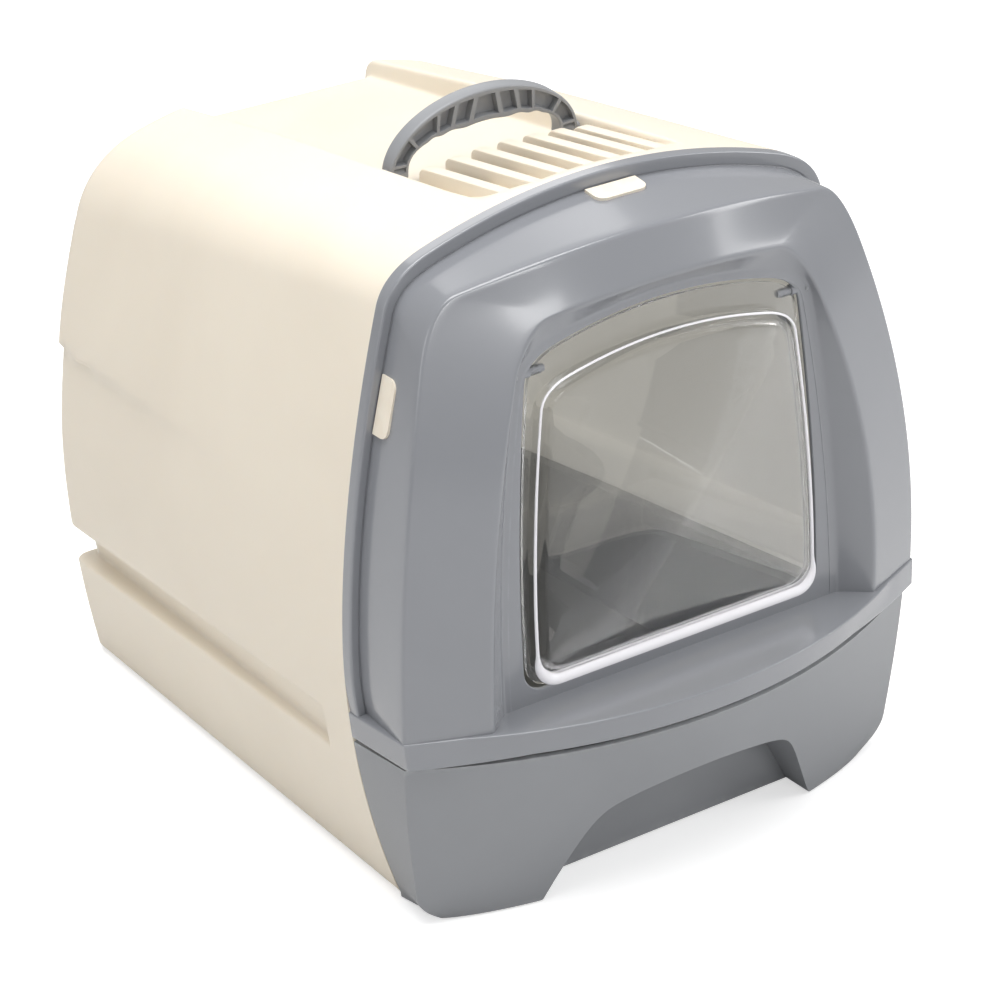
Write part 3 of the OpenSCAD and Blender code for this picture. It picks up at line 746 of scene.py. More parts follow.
# ---------------------------------------------------------------- housing
@dataclass
class Housing:
    """The one-piece cream hood with its base, grip groove and handle channel."""

    depth: float = 470.0
    wall: float = 3.0
    crown_fall: float = 39.0
    rear_lean: float = 44.0
    rear_round: float = 14.0
    groove_z: float = 113.0
    groove_fall: float = 27.0
    groove_h: float = 31.0
    back_groove: float = 15.0
    channel_half: float = 80.5
    channel_depth: float = 25.5
    ramp_start: float = 9.0
    ramp_end: float = 115.0
    straight: float = 282.0
    bars: int = 7
    bar_pitch: float = 21.0
    bar_w: float = 9.5
    bar_curve: float = 0.62
    slot_half: float = 4.4
    step_z: float = 271.0
    front_arch: tuple = (190, 4, 220, 187, 176, 434, 139, 487, 1 / CROWN_CURVE, 1.7)
    rear_arch: tuple = (183, 4, 203, 196, 178, 373, 115, 448, 1 / CROWN_CURVE, 1.7)

    def arches(self, t: Array) -> Array:
        """The body's arch at share t of its depth, (10, n): a straight blend of front and rear."""
        front, rear = np.array(self.front_arch), np.array(self.rear_arch)
        return mix(front[:, None], rear[:, None], t[None, :])

    def rear_y(self, z: Array) -> Array:
        """Y of the leaning rear wall at height z."""
        return self.depth - self.rear_lean * z / HEIGHT

    def crown_line(self, y: Array) -> Array:
        """Height of the crown's middle at y."""
        return HEIGHT - self.crown_fall * y / self.depth

    def ledge_z(self, y: Array) -> Array:
        """Height of the groove's lower ledge at y."""
        return self.groove_z - self.groove_fall * y / self.depth

    def floor_z(self, y: Array) -> Array:
        """Height of the channel's floor: a ramp under the vent bars, a power curve of y, and then
        level with the crown.

        Args:
            y: distances behind the joint.

        Returns:
            Heights.
        """
        start = self.crown_line(np.array(self.ramp_start)) + 1
        end = self.crown_line(np.array(self.ramp_end)) - self.channel_depth
        share = np.clip((y - self.ramp_start) / (self.ramp_end - self.ramp_start), 0, 1)
        ramp = start + (end - start) * share ** self.bar_curve
        return np.where(y < self.ramp_end, ramp, self.crown_line(y) - self.channel_depth)

    def columns(self) -> tuple[Array, Array]:
        """Where the columns lie, closer together where the groove, the vents and the channel start.

        Returns:
            Y of each column of the straight part, and shares of the rear part.
        """
        y = np.concatenate([
            [0, 1.2, 4, 9, 14, 16.5, 21, 27, 33, 37.5, 38.8, 39.4, 40, 40.6, 41.4, 43, 47, 53],
            np.linspace(59, 109, 9), [111.5, 113.5, 115, 116.5, 119, 124, 131],
            np.linspace(140, self.straight, 13)])
        return y, (np.arange(16) + 1) / 16

    def section(self) -> tuple[Array, Array, Array]:
        """Rows of the right half from the base's edge to the middle of the channel.

        Every column is a cross-section: flank, groove with a ledge below and a roof above, flank,
        corner, crown, channel wall, channel floor. Corners are rounded by rounded().

        Returns:
            Points (rows, cols, 3), inward direction of each row (rows, 2), and how much of each
            row lies in the groove (rows,).
        """
        y, share = self.columns()
        straight = len(y)
        t = np.concatenate([y / self.depth, mix(self.straight / self.depth, 1.0, share)])
        rear_low = self.rear_y(np.array(100.0)) - self.rear_round
        rear_top = self.rear_y(np.array(448.0)) - self.rear_round
        y_low = np.concatenate([y, mix(self.straight, rear_low, share)])
        y_top = np.concatenate([y, mix(self.straight, rear_top, share)])
        a = self.arches(t)

        def flank(z: Array) -> Array:
            """Outer skin at height z, with a small step that fades towards the front."""
            fade = ease((y_low - 130) / 300)
            proud = ease((z - self.step_z) / 3.0) * (1 - ease((z - 290) / 110)) * 3.0
            under = (1 - ease((z - self.step_z) / 3.0)) * ease((z - 160) / 110) * 1.5
            return np.stack([flank_at(a, z) + fade * (proud - under), z])

        zl = self.ledge_z(y_low)
        zu = zl + self.groove_h
        open_ = ease((y_low - 39.2) / 1.6)
        deep = 14 + 26 * (y_low - 39) / 405.8

        def inner(z: Array) -> Array:
            """Inner wall of the groove at height z."""
            x = HALF_W - deep - 1 + 8 * (z - zl + 9) / 49
            return np.stack([mix(flank(z)[0], x, open_), z])

        low = np.full_like(y_low, a[FOOT_Z, 0])
        base = rounded([np.stack([a[FOOT_X] - 8, low]), flank(low), flank(low + 12)], [0, 5, 0], [1, 1])
        rise = np.stack([flank(mix(low + 12, zl - 6, k / 10)) for k in range(1, 10)])
        groove = rounded([flank(zl - 6), flank(zl), inner(zl + 2.5), inner(zu - 2), flank(zu),
                          flank(zu + 8)], [0, 2.2, 0.4 + 3 * open_, 0.4 + 2.5 * open_, 4.5, 0],
                         [1, 4, 5, 3, 1])
        upper = np.stack([flank(mix(zu + 8, a[SHOULDER_Z], k / 46)) for k in range(1, 46)])
        corner = corner_curve(a, 20)
        side = self.channel_half
        crown = np.stack([np.stack([x, crown_at(a, x)]) for x in
                          (mix(a[CORNER_X], np.full_like(t, side + 10), k / 12) for k in range(12))])

        def bed(x: float) -> Array:
            """Channel floor at x: the lower of the crown and the ramp."""
            return np.stack([np.full_like(t, x), np.minimum(crown_at(a, x), self.floor_z(y_top))])

        rim = np.stack([np.full_like(t, side + 1.2), crown_at(a, side + 1.2)])
        wall = rounded([np.stack([np.full_like(t, side + 10), crown_at(a, side + 10)]), rim,
                        bed(side - 0.6), bed(side - 9)], [0, 4, 3, 0], [2, 6, 1])
        lanes = [68, 63, 57, 52.5, 48, 42, 36, 31.5, 27, 21, 15, 10.5, 6, 0]
        bedded = np.stack([bed(x) for x in lanes])
        parts = [base, rise, groove, upper, corner, crown, wall, bedded]
        rows = np.concatenate(parts)
        x, z = rows[:, 0], rows[:, 1]
        back = self.straight + share * (self.rear_y(z[:, straight:]) - self.rear_round - self.straight)
        full_y = np.concatenate([np.broadcast_to(y, (len(x), straight)), back], 1)
        sizes = [len(p) for p in parts]
        turn = np.concatenate([ease((np.arange(sizes[0])) / (sizes[0] - 1)), np.ones(sum(sizes[1:4])),
                               np.cos(np.linspace(0, math.pi / 2, sizes[4])), np.zeros(sum(sizes[5:]))])
        lift = np.concatenate([np.zeros(sum(sizes[:4])), np.sin(np.linspace(0, math.pi / 2, sizes[4])),
                               np.ones(sum(sizes[5:]))])
        start = sizes[0] + sizes[1]
        in_groove = np.zeros(len(x))
        xs = x[start:start + sizes[2], -1]
        outer = flank_at(a[:, -1:], z[start:start + sizes[2], -1:])[:, 0]
        in_groove[start:start + sizes[2]] = np.clip((outer - xs) / (outer - xs).max(), 0, 1)
        return np.stack([x, full_y, z], -1), np.stack([-turn, -lift], -1), in_groove

    def surface(self) -> Skin:
        """The whole outer skin: section rows, rounded rear edge, rear wall and base.

        The rear edge is a quarter ellipse. Each row then crosses the rear wall on the quadratic
        curve (1-t)^2 p + 2t(1-t) q + t^2 r, from the edge p to r on the middle line.

        Returns:
            The skin, with the holes between the vent bars left out.
        """
        p, inward, groove = self.section()
        angle = np.linspace(0, math.pi / 2, 9)[1:]
        edge = p[:, -1]
        shrink = 11.0 * (1 - np.cos(angle))
        x = edge[:, None, 0] + inward[:, None, 0] * shrink
        z = edge[:, None, 2] + inward[:, None, 1] * shrink
        y = (self.rear_y(z) - self.rear_round * (1 - np.sin(angle))
             - self.back_groove * groove[:, None] * ease(angle / 1.2))
        turn = np.stack([x, y, z], -1)
        end = turn[:, -1]
        steps = 12
        t = (np.arange(steps) + 1.0)[None, :] / steps
        index = np.arange(len(end))
        first = int(np.argmax(end[:, 2] > 300))
        target = np.where(index < first, end[:, 2], mix(300.0, 385.0, (index - first) /
                                                        (len(end) - 1 - first)))
        bend = ease((index - first) / 30.0)
        beside = end[:, 0] > self.channel_half + 2
        dip = np.clip((end[:, 2].max() - end[:, 2]) / 24, 0, 1)
        pull = np.where(beside, ease((130 - end[:, 0]) / 48), 1 - dip)
        wide = mix(np.where(beside, 0.93, 0.83), 1.22, pull)
        mx = mix(end[:, 0] / 2, end[:, 0] * wide, bend)
        mz = mix((end[:, 2] + target) / 2,
                 360 + (np.maximum(end[:, 2], 360) - 360) * mix(0.55, 0.35, pull), bend)
        wx = end[:, 0:1] * (1 - t) ** 2 + 2 * t * (1 - t) * mx[:, None]
        wz = end[:, 2:3] * (1 - t) ** 2 + 2 * t * (1 - t) * mz[:, None] + target[:, None] * t * t
        wy = self.rear_y(wz) - self.back_groove * groove[:, None]
        rear = np.stack([wx, wy, wz], -1)
        whole = np.concatenate([p, turn, rear], 1)
        y_mid = (whole[:-1, :-1, 1] + whole[1:, 1:, 1]) / 2
        x_mid = (whole[:-1, :-1, 0] + whole[1:, 1:, 0]) / 2
        z_mid = (whole[:-1, :-1, 2] + whole[1:, 1:, 2]) / 2
        slot = np.abs((x_mid / self.bar_pitch) % 1.0 - 0.5) * self.bar_pitch < self.slot_half
        hole = slot & (x_mid < 58) & (z_mid > 380) & (y_mid > 60) & (y_mid < 109.5)
        skin = Skin()
        skin.grid(whole, keep=~hole)
        skin.mirrored()
        foot = np.concatenate([p, turn], 1)[0]
        spread = np.linspace(1, -1, 2 * steps + 1)[:, None]
        across = foot[None, :, 0] * spread
        skin.grid(np.stack([across, np.broadcast_to(foot[:, 1], across.shape),
                            np.broadcast_to(foot[:, 2], across.shape)], -1))
        return skin

    def vent_bars(self) -> Skin:
        """The bars over the ramp: a round-topped section swept from the crown to the ramp's end.

        The top is the superellipse (cos a)^0.5, (sin a)^0.35, a from 0 to a half turn.

        Returns:
            The bars, each closed at its ends.
        """
        skin = Skin()
        y = np.concatenate([[0.6, 2, 6], np.linspace(12, 108, 14), [111, 113, 114.4, 115]])
        drop = np.concatenate([np.zeros(len(y) - 4), [0.3, 1.2, 2.6, 4.5]])
        angle = np.linspace(0, math.pi, 15)
        half = self.bar_w / 2
        for k in range(self.bars):
            x = (k - (self.bars - 1) / 2) * self.bar_pitch
            top = self.crown_line(y) - x * x / CROWN_CURVE - 0.3 - 2.0 * y / self.ramp_end - drop
            foot = np.minimum(self.floor_z(y) - 2.0, top - 2.5)
            narrow = half * (0.86 + 0.14 * ease((y - 4) / 24))
            lean = np.sign(np.cos(angle))[:, None]
            arc_x = x + narrow[None, :] * lean * np.abs(np.cos(angle))[:, None] ** 0.5
            arc_z = top[None, :] - 1.5 * (1 - np.sin(angle)[:, None] ** 0.35)
            px = np.concatenate([(x + narrow * 1.12)[None], arc_x, (x - narrow * 1.12)[None]])
            pz = np.concatenate([foot[None], arc_z, foot[None]])
            p = np.stack([px, np.broadcast_to(y, px.shape), pz], -1)
            skin.grid(p, loop_rows=True)
            for end in (0, -1):
                rim = p[:, end]
                skin.grid(np.stack([rim, np.broadcast_to(rim.mean(0), rim.shape)]), loop_cols=True)
        return skin

    def feet(self) -> Skin:
        """Four low feet: superellipse blocks whose sides draw in towards the floor.

        Returns:
            The feet, each closed.
        """
        skin = Skin()
        t = np.linspace(0, 2 * math.pi, 41)[:-1]
        cx = np.sign(np.cos(t)) * np.abs(np.cos(t)) ** 0.35
        cy = np.sign(np.sin(t)) * np.abs(np.sin(t)) ** 0.35
        levels = [(0.0, 0.0), (0.93, 0.0), (0.97, 0.5), (1.0, 2.0), (1.0, 6.0), (0.0, 6.0)]
        for x, y, lx, ly in ((160, 50, 20, 49), (150, 416, 20, 30)):
            for s in (-1, 1):
                rings = [np.stack([s * x + lx * k * cx, y + ly * k * cy, np.full_like(t, z)], -1)
                         for k, z in levels]
                skin.grid(np.stack(rings), loop_cols=True)
        return skin

    def build(self, shell: bpy.types.Material, inside: bpy.types.Material) -> None:
        """Builds the hood, its vent bars and its feet.

        Args:
            shell: the outside's finish.
            inside: the inner wall's finish, a greyer cream that glows as painted light.
        """
        finish_piece(self.surface().mesh("housing_shell"), Body.BOX, shell, ("housing",),
                     wall=self.wall, inside=inside)
        finish_piece(self.vent_bars().mesh("vent_bars"), Body.BOX, shell)
        finish_piece(self.feet().mesh("base_feet"), Body.BOX, shell)


# ---------------------------------------------------------------- front frame
@dataclass
class FrontFrame:
    """The grey front frame: flange, raised face, recess, sill and snap clips."""

    wall: float = 3.0
    sill_z: float = 156.0
    rim_h: float = 20.0
    rim_reach: float = 128.0
    rim_r: float = 349.0
    face_reach: float = 115.8
    flange_t: float = 10.0
    half_door: float = 120.0
    door_top: float = 414.0
    door_z: float = 167.0
    plane: float = 68.0
    door_gap: float = 2.5
    groove_in: float = 7.2
    door_arch: tuple = (120, 167, 120, 207, 108, 382, 83, 414, 0.0015, 1.8)

    def __post_init__(self) -> None:
        """Works out the arches that the frame is drawn from."""
        foot = self.sill_z - self.wall / 2
        hd, top = self.half_door, self.door_top
        self.flange = np.array([217.55, foot, 220, 187, 176, 434, 139, HEIGHT, 1 / CROWN_CURVE, 1.7])
        self.groove = inset(self.flange, self.groove_in)
        self.groove[CROWN_Z] = HEIGHT - self.groove_in - 3
        self.crease = np.array([214, foot, 214, 160, 177, 405, 146, 467.5, 0.00085, 2.0])
        self.recess = np.array([hd + 39.5, foot, hd + 39.5, 160, hd + 4, top - 31, hd - 32, top + 20,
                                0.00085, 2.2])
        self.panel = np.array([hd + 20, foot, hd + 20, 160, hd - 1, top - 26, hd - 36, top + 9,
                               0.0015, 2.0])

    def face_y(self, x: Array, z: Array) -> Array:
        """Y of the raised face: bowed as x squared, curling back as a quadratic of the height."""
        u = np.maximum(0, z - self.sill_z)
        return -self.face_reach - 0.0695 * u + 0.00071 * u * u + 0.0012 * x * x

    def rim_y(self, x: Array, reach: Array | float) -> Array:
        """Y of the sill's bowed edge: a circle of radius rim_r."""
        return -reach + self.rim_r - np.sqrt(self.rim_r ** 2 - x * x)

    def raised(self) -> Skin:
        """Flange, side, face and recess wall: a rounded section at each point of the arches.

        Returns:
            The closed sheet.
        """
        outer, groove = full_arch(self.flange), full_arch(self.groove)
        crease, recess, panel = full_arch(self.crease), full_arch(self.recess), full_arch(self.panel)
        panel_in = full_arch(inset(self.panel, 6))
        recess_in = full_arch(inset(self.recess, -self.wall))
        crease_in = full_arch(inset(self.crease, self.wall))
        groove_in = full_arch(inset(self.groove, self.wall))
        face_c, face_r = self.face_y(*crease), self.face_y(*recess)
        front = [solid_points(outer, 0), solid_points(outer, -self.flange_t),
                 solid_points(mix(outer, groove, 0.86), -self.flange_t + 0.2),
                 solid_points(groove, -self.flange_t + 1.2), solid_points(crease, face_c),
                 solid_points(recess, face_r), solid_points(panel, -self.plane),
                 solid_points(panel_in, -self.plane)]
        a, b = solid_points(groove_in, 0), solid_points(crease_in, face_c + 2 * self.wall)
        back = [a, mix(a, b, 0.04), mix(a, b, 0.08), mix(a, b, 0.12), b,
                solid_points(recess_in, face_r + self.wall),
                solid_points(panel, -self.plane + self.wall),
                solid_points(panel_in, -self.plane + self.wall)]
        steps = [3, 2, 2, 8, 14, 10, 2]
        skin = Skin()
        shell_grids(skin, rows_to_grid(rounded(front, [0, 1.8, 0.7, 0.7, 2.4, 2.6, 2.2, 0], steps)),
                    rows_to_grid(rounded(back, [0, 0.5, 0.5, 0.5, 3, 3, 2, 0], steps)))
        return skin

    def sill(self) -> Skin:
        """The sill: a level shelf with a rounded, bowed front band under it.

        Returns:
            The closed sheet.
        """
        n_side, n_front = 8, 96
        k = np.arange(n_side) / n_side
        u = np.linspace(1, -1, n_front + 1)
        inner_x, inner_y = 203.67, -56.0

        def outline(x: float, z: float, reach: float, d: float) -> Array:
            """Plan of the sill, right side to left side.

            Args:
                x: half-width at the back.
                z: height.
                reach: how far the middle of the front stands out.
                d: how far inside the edge.

            Returns:
                Points (3, n).
            """
            tip = x - 4.5 - d
            edge = np.minimum(self.rim_y(tip * u, reach - d), self.face_y(tip * u, z * 0) - 1 + d)
            side = np.stack([mix(x - d, tip, k), mix(-0.0, edge[0], k)])
            run = np.concatenate([side, np.stack([tip * u, edge]), (side * [[-1], [1]])[:, ::-1]], 1)
            return np.stack([run[0], run[1], np.full(run.shape[1], z)])

        def inside(z: float) -> Array:
            """Edge of the shelf behind the door, matched to the outline point by point.

            Args:
                z: height.

            Returns:
                Points (3, n).
            """
            side = np.stack([np.full(n_side, inner_x), mix(-0.0, inner_y, k)])
            run = np.concatenate([side, np.stack([inner_x * u, np.full_like(u, inner_y)]),
                                  (side * [[-1], [1]])[:, ::-1]], 1)
            return np.stack([run[0], run[1], np.full(run.shape[1], z)])

        z0 = self.sill_z - self.rim_h
        t = self.wall
        front = [inside(self.sill_z), outline(219.05, self.sill_z, self.rim_reach, 0),
                 outline(217.7, z0, self.rim_reach - 6, 0), outline(217.7, z0, self.rim_reach - 6, t)]
        back = [inside(self.sill_z - t), outline(219.05, self.sill_z - t, self.rim_reach, t),
                outline(218.0, z0 + 2, self.rim_reach - 6, t),
                outline(217.7, z0 + 0.2, self.rim_reach - 6, t)]
        skin = Skin()
        shell_grids(skin, rows_to_grid(rounded(front, [0, 1.5, 1.2, 0], [8, 6, 1])),
                    rows_to_grid(rounded(back, [0, 1, 0.6, 0], [8, 6, 1])))
        return skin

    def loop(self, grow: float, lower: float = 0.0, arch: Array | None = None,
             low_z: float | None = None, low_r: float = 16.0) -> Array:
        """A closed loop round the doorway: bottom edge, round lower corners, arch.

        Args:
            grow: how far outside the door's own outline.
            lower: how much lower its top edge is.
            arch: another arch than the door's.
            low_z: height of the bottom edge.
            low_r: radius of the lower corners.

        Returns:
            Points (2, n), anticlockwise from the middle of the bottom edge.
        """
        if arch is None:
            arch = np.array(self.door_arch)
            arch[[SHOULDER_Z, CROWN_Z]] -= lower
        a = inset(arch, -grow)
        bottom = (self.door_z if low_z is None else low_z) - grow
        x = a[BELLY_X]
        angle = np.linspace(0, math.pi / 2, 13)
        corner = np.stack([x - low_r + low_r * np.sin(angle), bottom + low_r - low_r * np.cos(angle)])
        base = np.stack([(x - low_r) * np.arange(14) / 14, np.full(14, bottom)])
        z = mix(bottom + low_r, a[BELLY_Z], (np.arange(8) + 1) / 9)
        low = np.stack([np.full(8, x), z])
        z = mix(a[BELLY_Z], a[SHOULDER_Z], np.arange(HIGH) / HIGH)
        high = np.stack([flank_at(a, z), z])
        top_x = a[CORNER_X] * (1 - np.arange(CROWN + 1) / CROWN)
        half = np.concatenate([base, corner, low, high, corner_curve(a, CORNER).T,
                               np.stack([top_x, crown_at(a, top_x)])], 1)
        return np.concatenate([half, (half * [[-1], [1]])[:, -2:0:-1]], 1)

    def door_panel(self) -> Skin:
        """The flat panel round the doorway, from under the recess wall to a rounded lip.

        Returns:
            The closed ring.
        """
        outer = self.loop(0, arch=inset(self.panel, 2), low_z=self.sill_z - 2, low_r=3)
        hole = self.loop(self.door_gap)
        y0, y1 = -self.plane + 0.3, -self.plane + 3.5
        corners = [solid_points(outer, y0), solid_points(hole, y0), solid_points(hole, y1),
                   solid_points(outer, y1)]
        rows = rounded(corners, [0, 1.1, 0.8, 0], [4, 1, 4], arc=4)
        skin = Skin()
        skin.grid(rows_to_grid(rows), loop_rows=True, loop_cols=True)
        return skin

    def hinge_lugs(self) -> Skin:
        """Two short round lugs beside the door's pivots.

        Returns:
            The lugs, each closed.
        """
        skin = Skin()
        profile = [(104.9, 0.0), (104.9, 3.4), (105.3, 3.8), (115.5, 3.8), (115.8, 3.5), (115.8, 0.0)]
        for s in (-1, 1):
            skin.grid(lathe(profile, s, HINGE_Y, HINGE_Z), loop_cols=True)
        return skin

    def build(self, gloss: bpy.types.Material, shell: bpy.types.Material) -> None:
        """Builds the frame's pieces and dresses the three clips.

        Args:
            gloss: the frame's finish.
            shell: the clips' finish, which is the housing's.
        """
        finish_piece(self.raised().mesh("frame_face"), Body.BOX, gloss, ("front_bezel",))
        finish_piece(self.sill().mesh("frame_sill"), Body.BOX, gloss)
        finish_piece(self.door_panel().mesh("door_surround"), Body.BOX, gloss)
        finish_piece(self.hinge_lugs().mesh("hinge_lugs"), Body.BOX, gloss)
        dress(("bezel_clip_top", "bezel_clip_left", "bezel_clip_right"), shell)


# ---------------------------------------------------------------- door
@dataclass
class Door:
    """The clear swinging door: a flat rim, a dished middle and a rounded edge."""

    frame: FrontFrame
    sheet: float = 3.0
    dish: float = 10.0
    strip: float = 16.0
    back_y: float = HINGE_Y
    middle_z: float = 290.0

    def surface(self) -> Skin:
        """Front and back skins as loops from the middle out, joined round the edge.

        Returns:
            The closed sheet.
        """
        f, s = self.frame, self.strip
        y = self.back_y - self.sheet

        def ring(inset_by: float, lower: float, at: float) -> Array:
            """One loop, inset_by inside the door's outline."""
            return solid_points(f.loop(-inset_by, lower), at)

        def middle(at: float) -> Array:
            """The loops' common middle: each point drawn in to a short upright line."""
            p = f.loop(-10, s)
            return np.stack([p[0] * 0.0, np.full(p.shape[1], at),
                             self.middle_z + (p[1] - self.middle_z) * 0.3])

        front = [middle(y - self.dish), ring(9, s, y - self.dish), ring(3, s, y - 0.2), ring(0, 0, y)]
        back = [middle(y - self.dish + self.sheet), ring(11.5, s, y - self.dish + self.sheet),
                ring(5.5, s, y + self.sheet), ring(0.3, 0, y + self.sheet)]
        steps = [10, 4, 4]
        outer = rounded(front, [0, 4.5, 1.5, 0], steps, arc=7)
        inner = rounded(back, [0, 3.5, 1.5, 0], steps, arc=7)
        skin = Skin()
        skin.grid(rows_to_grid(np.concatenate([outer, inner[::-1]])), loop_cols=True)
        return skin

    def barrels(self) -> Skin:
        """The two pivot barrels at the door's top corners.

        Returns:
            The barrels, each closed.
        """
        skin = Skin()
        profile = [(96.1, 0.0), (96.1, 2.8), (96.6, 3.2), (103.6, 3.2), (104, 2.9), (104, 2.6),
                   (98, 2.6), (98, 0.0)]
        for s in (-1, 1):
            skin.grid(lathe(profile, s, HINGE_Y, HINGE_Z), loop_cols=True)
        return skin

    def bead(self) -> Skin:
        """The thick rounded shoulder of the dish: a round section carried round the dish's loop,
        thickest along the bottom edge and thinning up the sides.

        Returns:
            The closed ring.
        """
        path = self.frame.loop(-5.2, self.strip - 1)
        low, high = path[1].min(), path[1].max()
        up = path[1] - low
        thick = mix(4.6, 1.2, ease(up / 24.0)) * (1 - 0.3 * ease(up / (high - low)))
        ahead = np.roll(path, -1, 1) - np.roll(path, 1, 1)
        ahead /= np.linalg.norm(ahead, axis=0)
        out = np.stack([ahead[1], -ahead[0]])
        t = np.linspace(0, 2 * math.pi, 15)[:-1][:, None]
        x = path[0] + out[0] * thick * np.cos(t)
        z = path[1] + out[1] * thick * np.cos(t)
        y = self.back_y - self.sheet - self.dish * 0.62 + thick * np.sin(t)
        skin = Skin()
        skin.grid(np.stack([x, y, z], -1), loop_rows=True, loop_cols=True)
        return skin

    def build(self, clear: bpy.types.Material, edge: bpy.types.Material,
              pin: bpy.types.Material) -> None:
        """Builds the sheet, its bead and its barrels, and dresses the pivots.

        Args:
            clear: the sheet's finish.
            edge: the bead's finish, near-white and mostly opaque, which paints the lip's bright
                highlight.
            pin: the pivots' finish.
        """
        finish_piece(self.surface().mesh("door_sheet"), Body.DOOR, clear, ("door_pane",))
        finish_piece(self.bead().mesh("door_bead"), Body.DOOR, edge)
        finish_piece(self.barrels().mesh("door_barrels"), Body.DOOR, clear)
        dress(("door_pivot_left", "door_pivot_right"), pin)


# ---------------------------------------------------------------- drawer
@dataclass
class Drawer:
    """The pull-out drawer: bowed front with a hand notch, and the litter pan."""

    top: float = 133.0
    notch_h: float = 84.0
    notch_half: float = 116.0
    notch_fall: float = 14.0
    cheek: float = 28.0
    pocket_y: float = -38.0
    wall: float = 3.0
    tuck_in: float = 18.0
    tuck_h: float = 25.0

    def crease_x(self, z: Array) -> Array:
        """Half-width of the corner at height z: a power curve, less the tuck."""
        u = (self.top - z) / self.top
        return HALF_W - 8.5 - 12.5 * u ** 1.6 - self.tuck(z)

    def tuck(self, z: Array) -> Array:
        """How far the corner draws in over its lowest part: the square of the share below it."""
        return self.tuck_in * (np.clip(self.tuck_h - z, 0, None) / self.tuck_h) ** 2

    def column_x(self, share: Array, z: Array) -> Array:
        """X of the front at a share of its half-width: the tuck grows as the share's fourth power."""
        return share * (self.crease_x(z) + self.tuck(z) * (1 - share ** 4))

    def side_x(self, z: Array) -> Array:
        """Half-width of the drawer's back edge, just inside the housing's flank."""
        return HALF_W - 30 * ((187 - np.maximum(z, 4)) / 183) ** 2 - 0.4

    def front_y(self, share: Array, z: Array) -> Array:
        """Y of the bowed front at a share of the corner's half-width."""
        sag = 36 + 31 * (z / self.top) ** 1.4
        return -(41 + 14 * z / self.top) - sag * (1 - share * share)

    def notch_z(self, x: Array) -> Array:
        """Lower edge of the front at x: the floor outside the notch, its slanted cheeks and its
        arched top. They blend as -s log(exp(-cheek / s) + exp(-arch / s)).

        Args:
            x: places across the front.

        Returns:
            Heights.
        """
        knee = self.notch_half - self.cheek
        cheek = (self.notch_half - np.abs(x)) / self.cheek * (self.notch_h - 26)
        arch = self.notch_h - self.notch_fall * np.clip(np.abs(x) / (knee - 7), 0, None) ** 2
        sharp = 9.0
        both = -np.log(np.exp(-cheek / sharp) + np.exp(-arch / sharp)) * sharp
        return np.maximum(both, 1.0)

    def surface(self) -> Skin:
        """Front skin, notch pocket and its back wall, all meeting on shared edges.

        Returns:
            The open skin, which gets its wall later.
        """
        rows = 34
        v = np.linspace(0, 1, rows)[:, None]
        share = np.concatenate([np.linspace(0, 0.4, 25)[:-1], np.linspace(0.4, 0.62, 30)[:-1],
                                np.linspace(0.62, 0.96, 16), [0.975, 0.985, 0.993, 1.0]])
        bottom = np.full_like(share, 1.0)
        for _ in range(6):
            bottom = self.notch_z(self.column_x(share, bottom))
        z = mix(bottom[None], self.top, v)
        x = self.column_x(share[None], z)
        y = self.front_y(share[None], z)
        side_share = ease(np.linspace(0, 1, 9)[1:])[None]
        z_side = mix(1.0, self.top, v) * np.ones_like(side_share)
        x_side = mix(self.crease_x(z_side), self.side_x(z_side), side_share)
        y_side = mix(self.front_y(np.array(1.0), z_side), -0.5, side_share)
        front = np.concatenate([np.stack([x, y, z], -1), np.stack([x_side, y_side, z_side], -1)], 1)
        skin = Skin()
        skin.grid(front)
        n = int(np.argmax(bottom <= 1.0001)) + 1
        lip = front[0, :n]
        depth = np.concatenate([[0, 0.02, 0.06], np.linspace(0.15, 1, 8)])[:, None]
        back_y = np.full(n, self.pocket_y)
        pocket = np.stack([np.broadcast_to(lip[None, :, 0], (len(depth), n)),
                           mix(lip[None, :, 1], back_y[None], depth),
                           np.broadcast_to(lip[None, :, 2], (len(depth), n))], -1)
        skin.grid(pocket)
        fall = np.linspace(0, 1, 10)[:, None]
        plate = np.stack([np.broadcast_to(lip[None, :, 0], (10, n)), np.full((10, n), self.pocket_y),
                          mix(lip[None, :, 2], 1.0, fall)], -1)
        skin.grid(plate)
        skin.mirrored()
        return skin

    def build(self, satin: bpy.types.Material, dark: bpy.types.Material) -> None:
        """Builds the drawer front and dresses the pan and its lugs.

        Args:
            satin: the front's finish.
            dark: the pan's finish.
        """
        finish_piece(self.surface().mesh("drawer_face"), Body.DRAWER, satin,
                     ("drawer_front",), wall=self.wall)
        dress(("litter_pan", "pan_lug_left", "pan_lug_right"), dark)


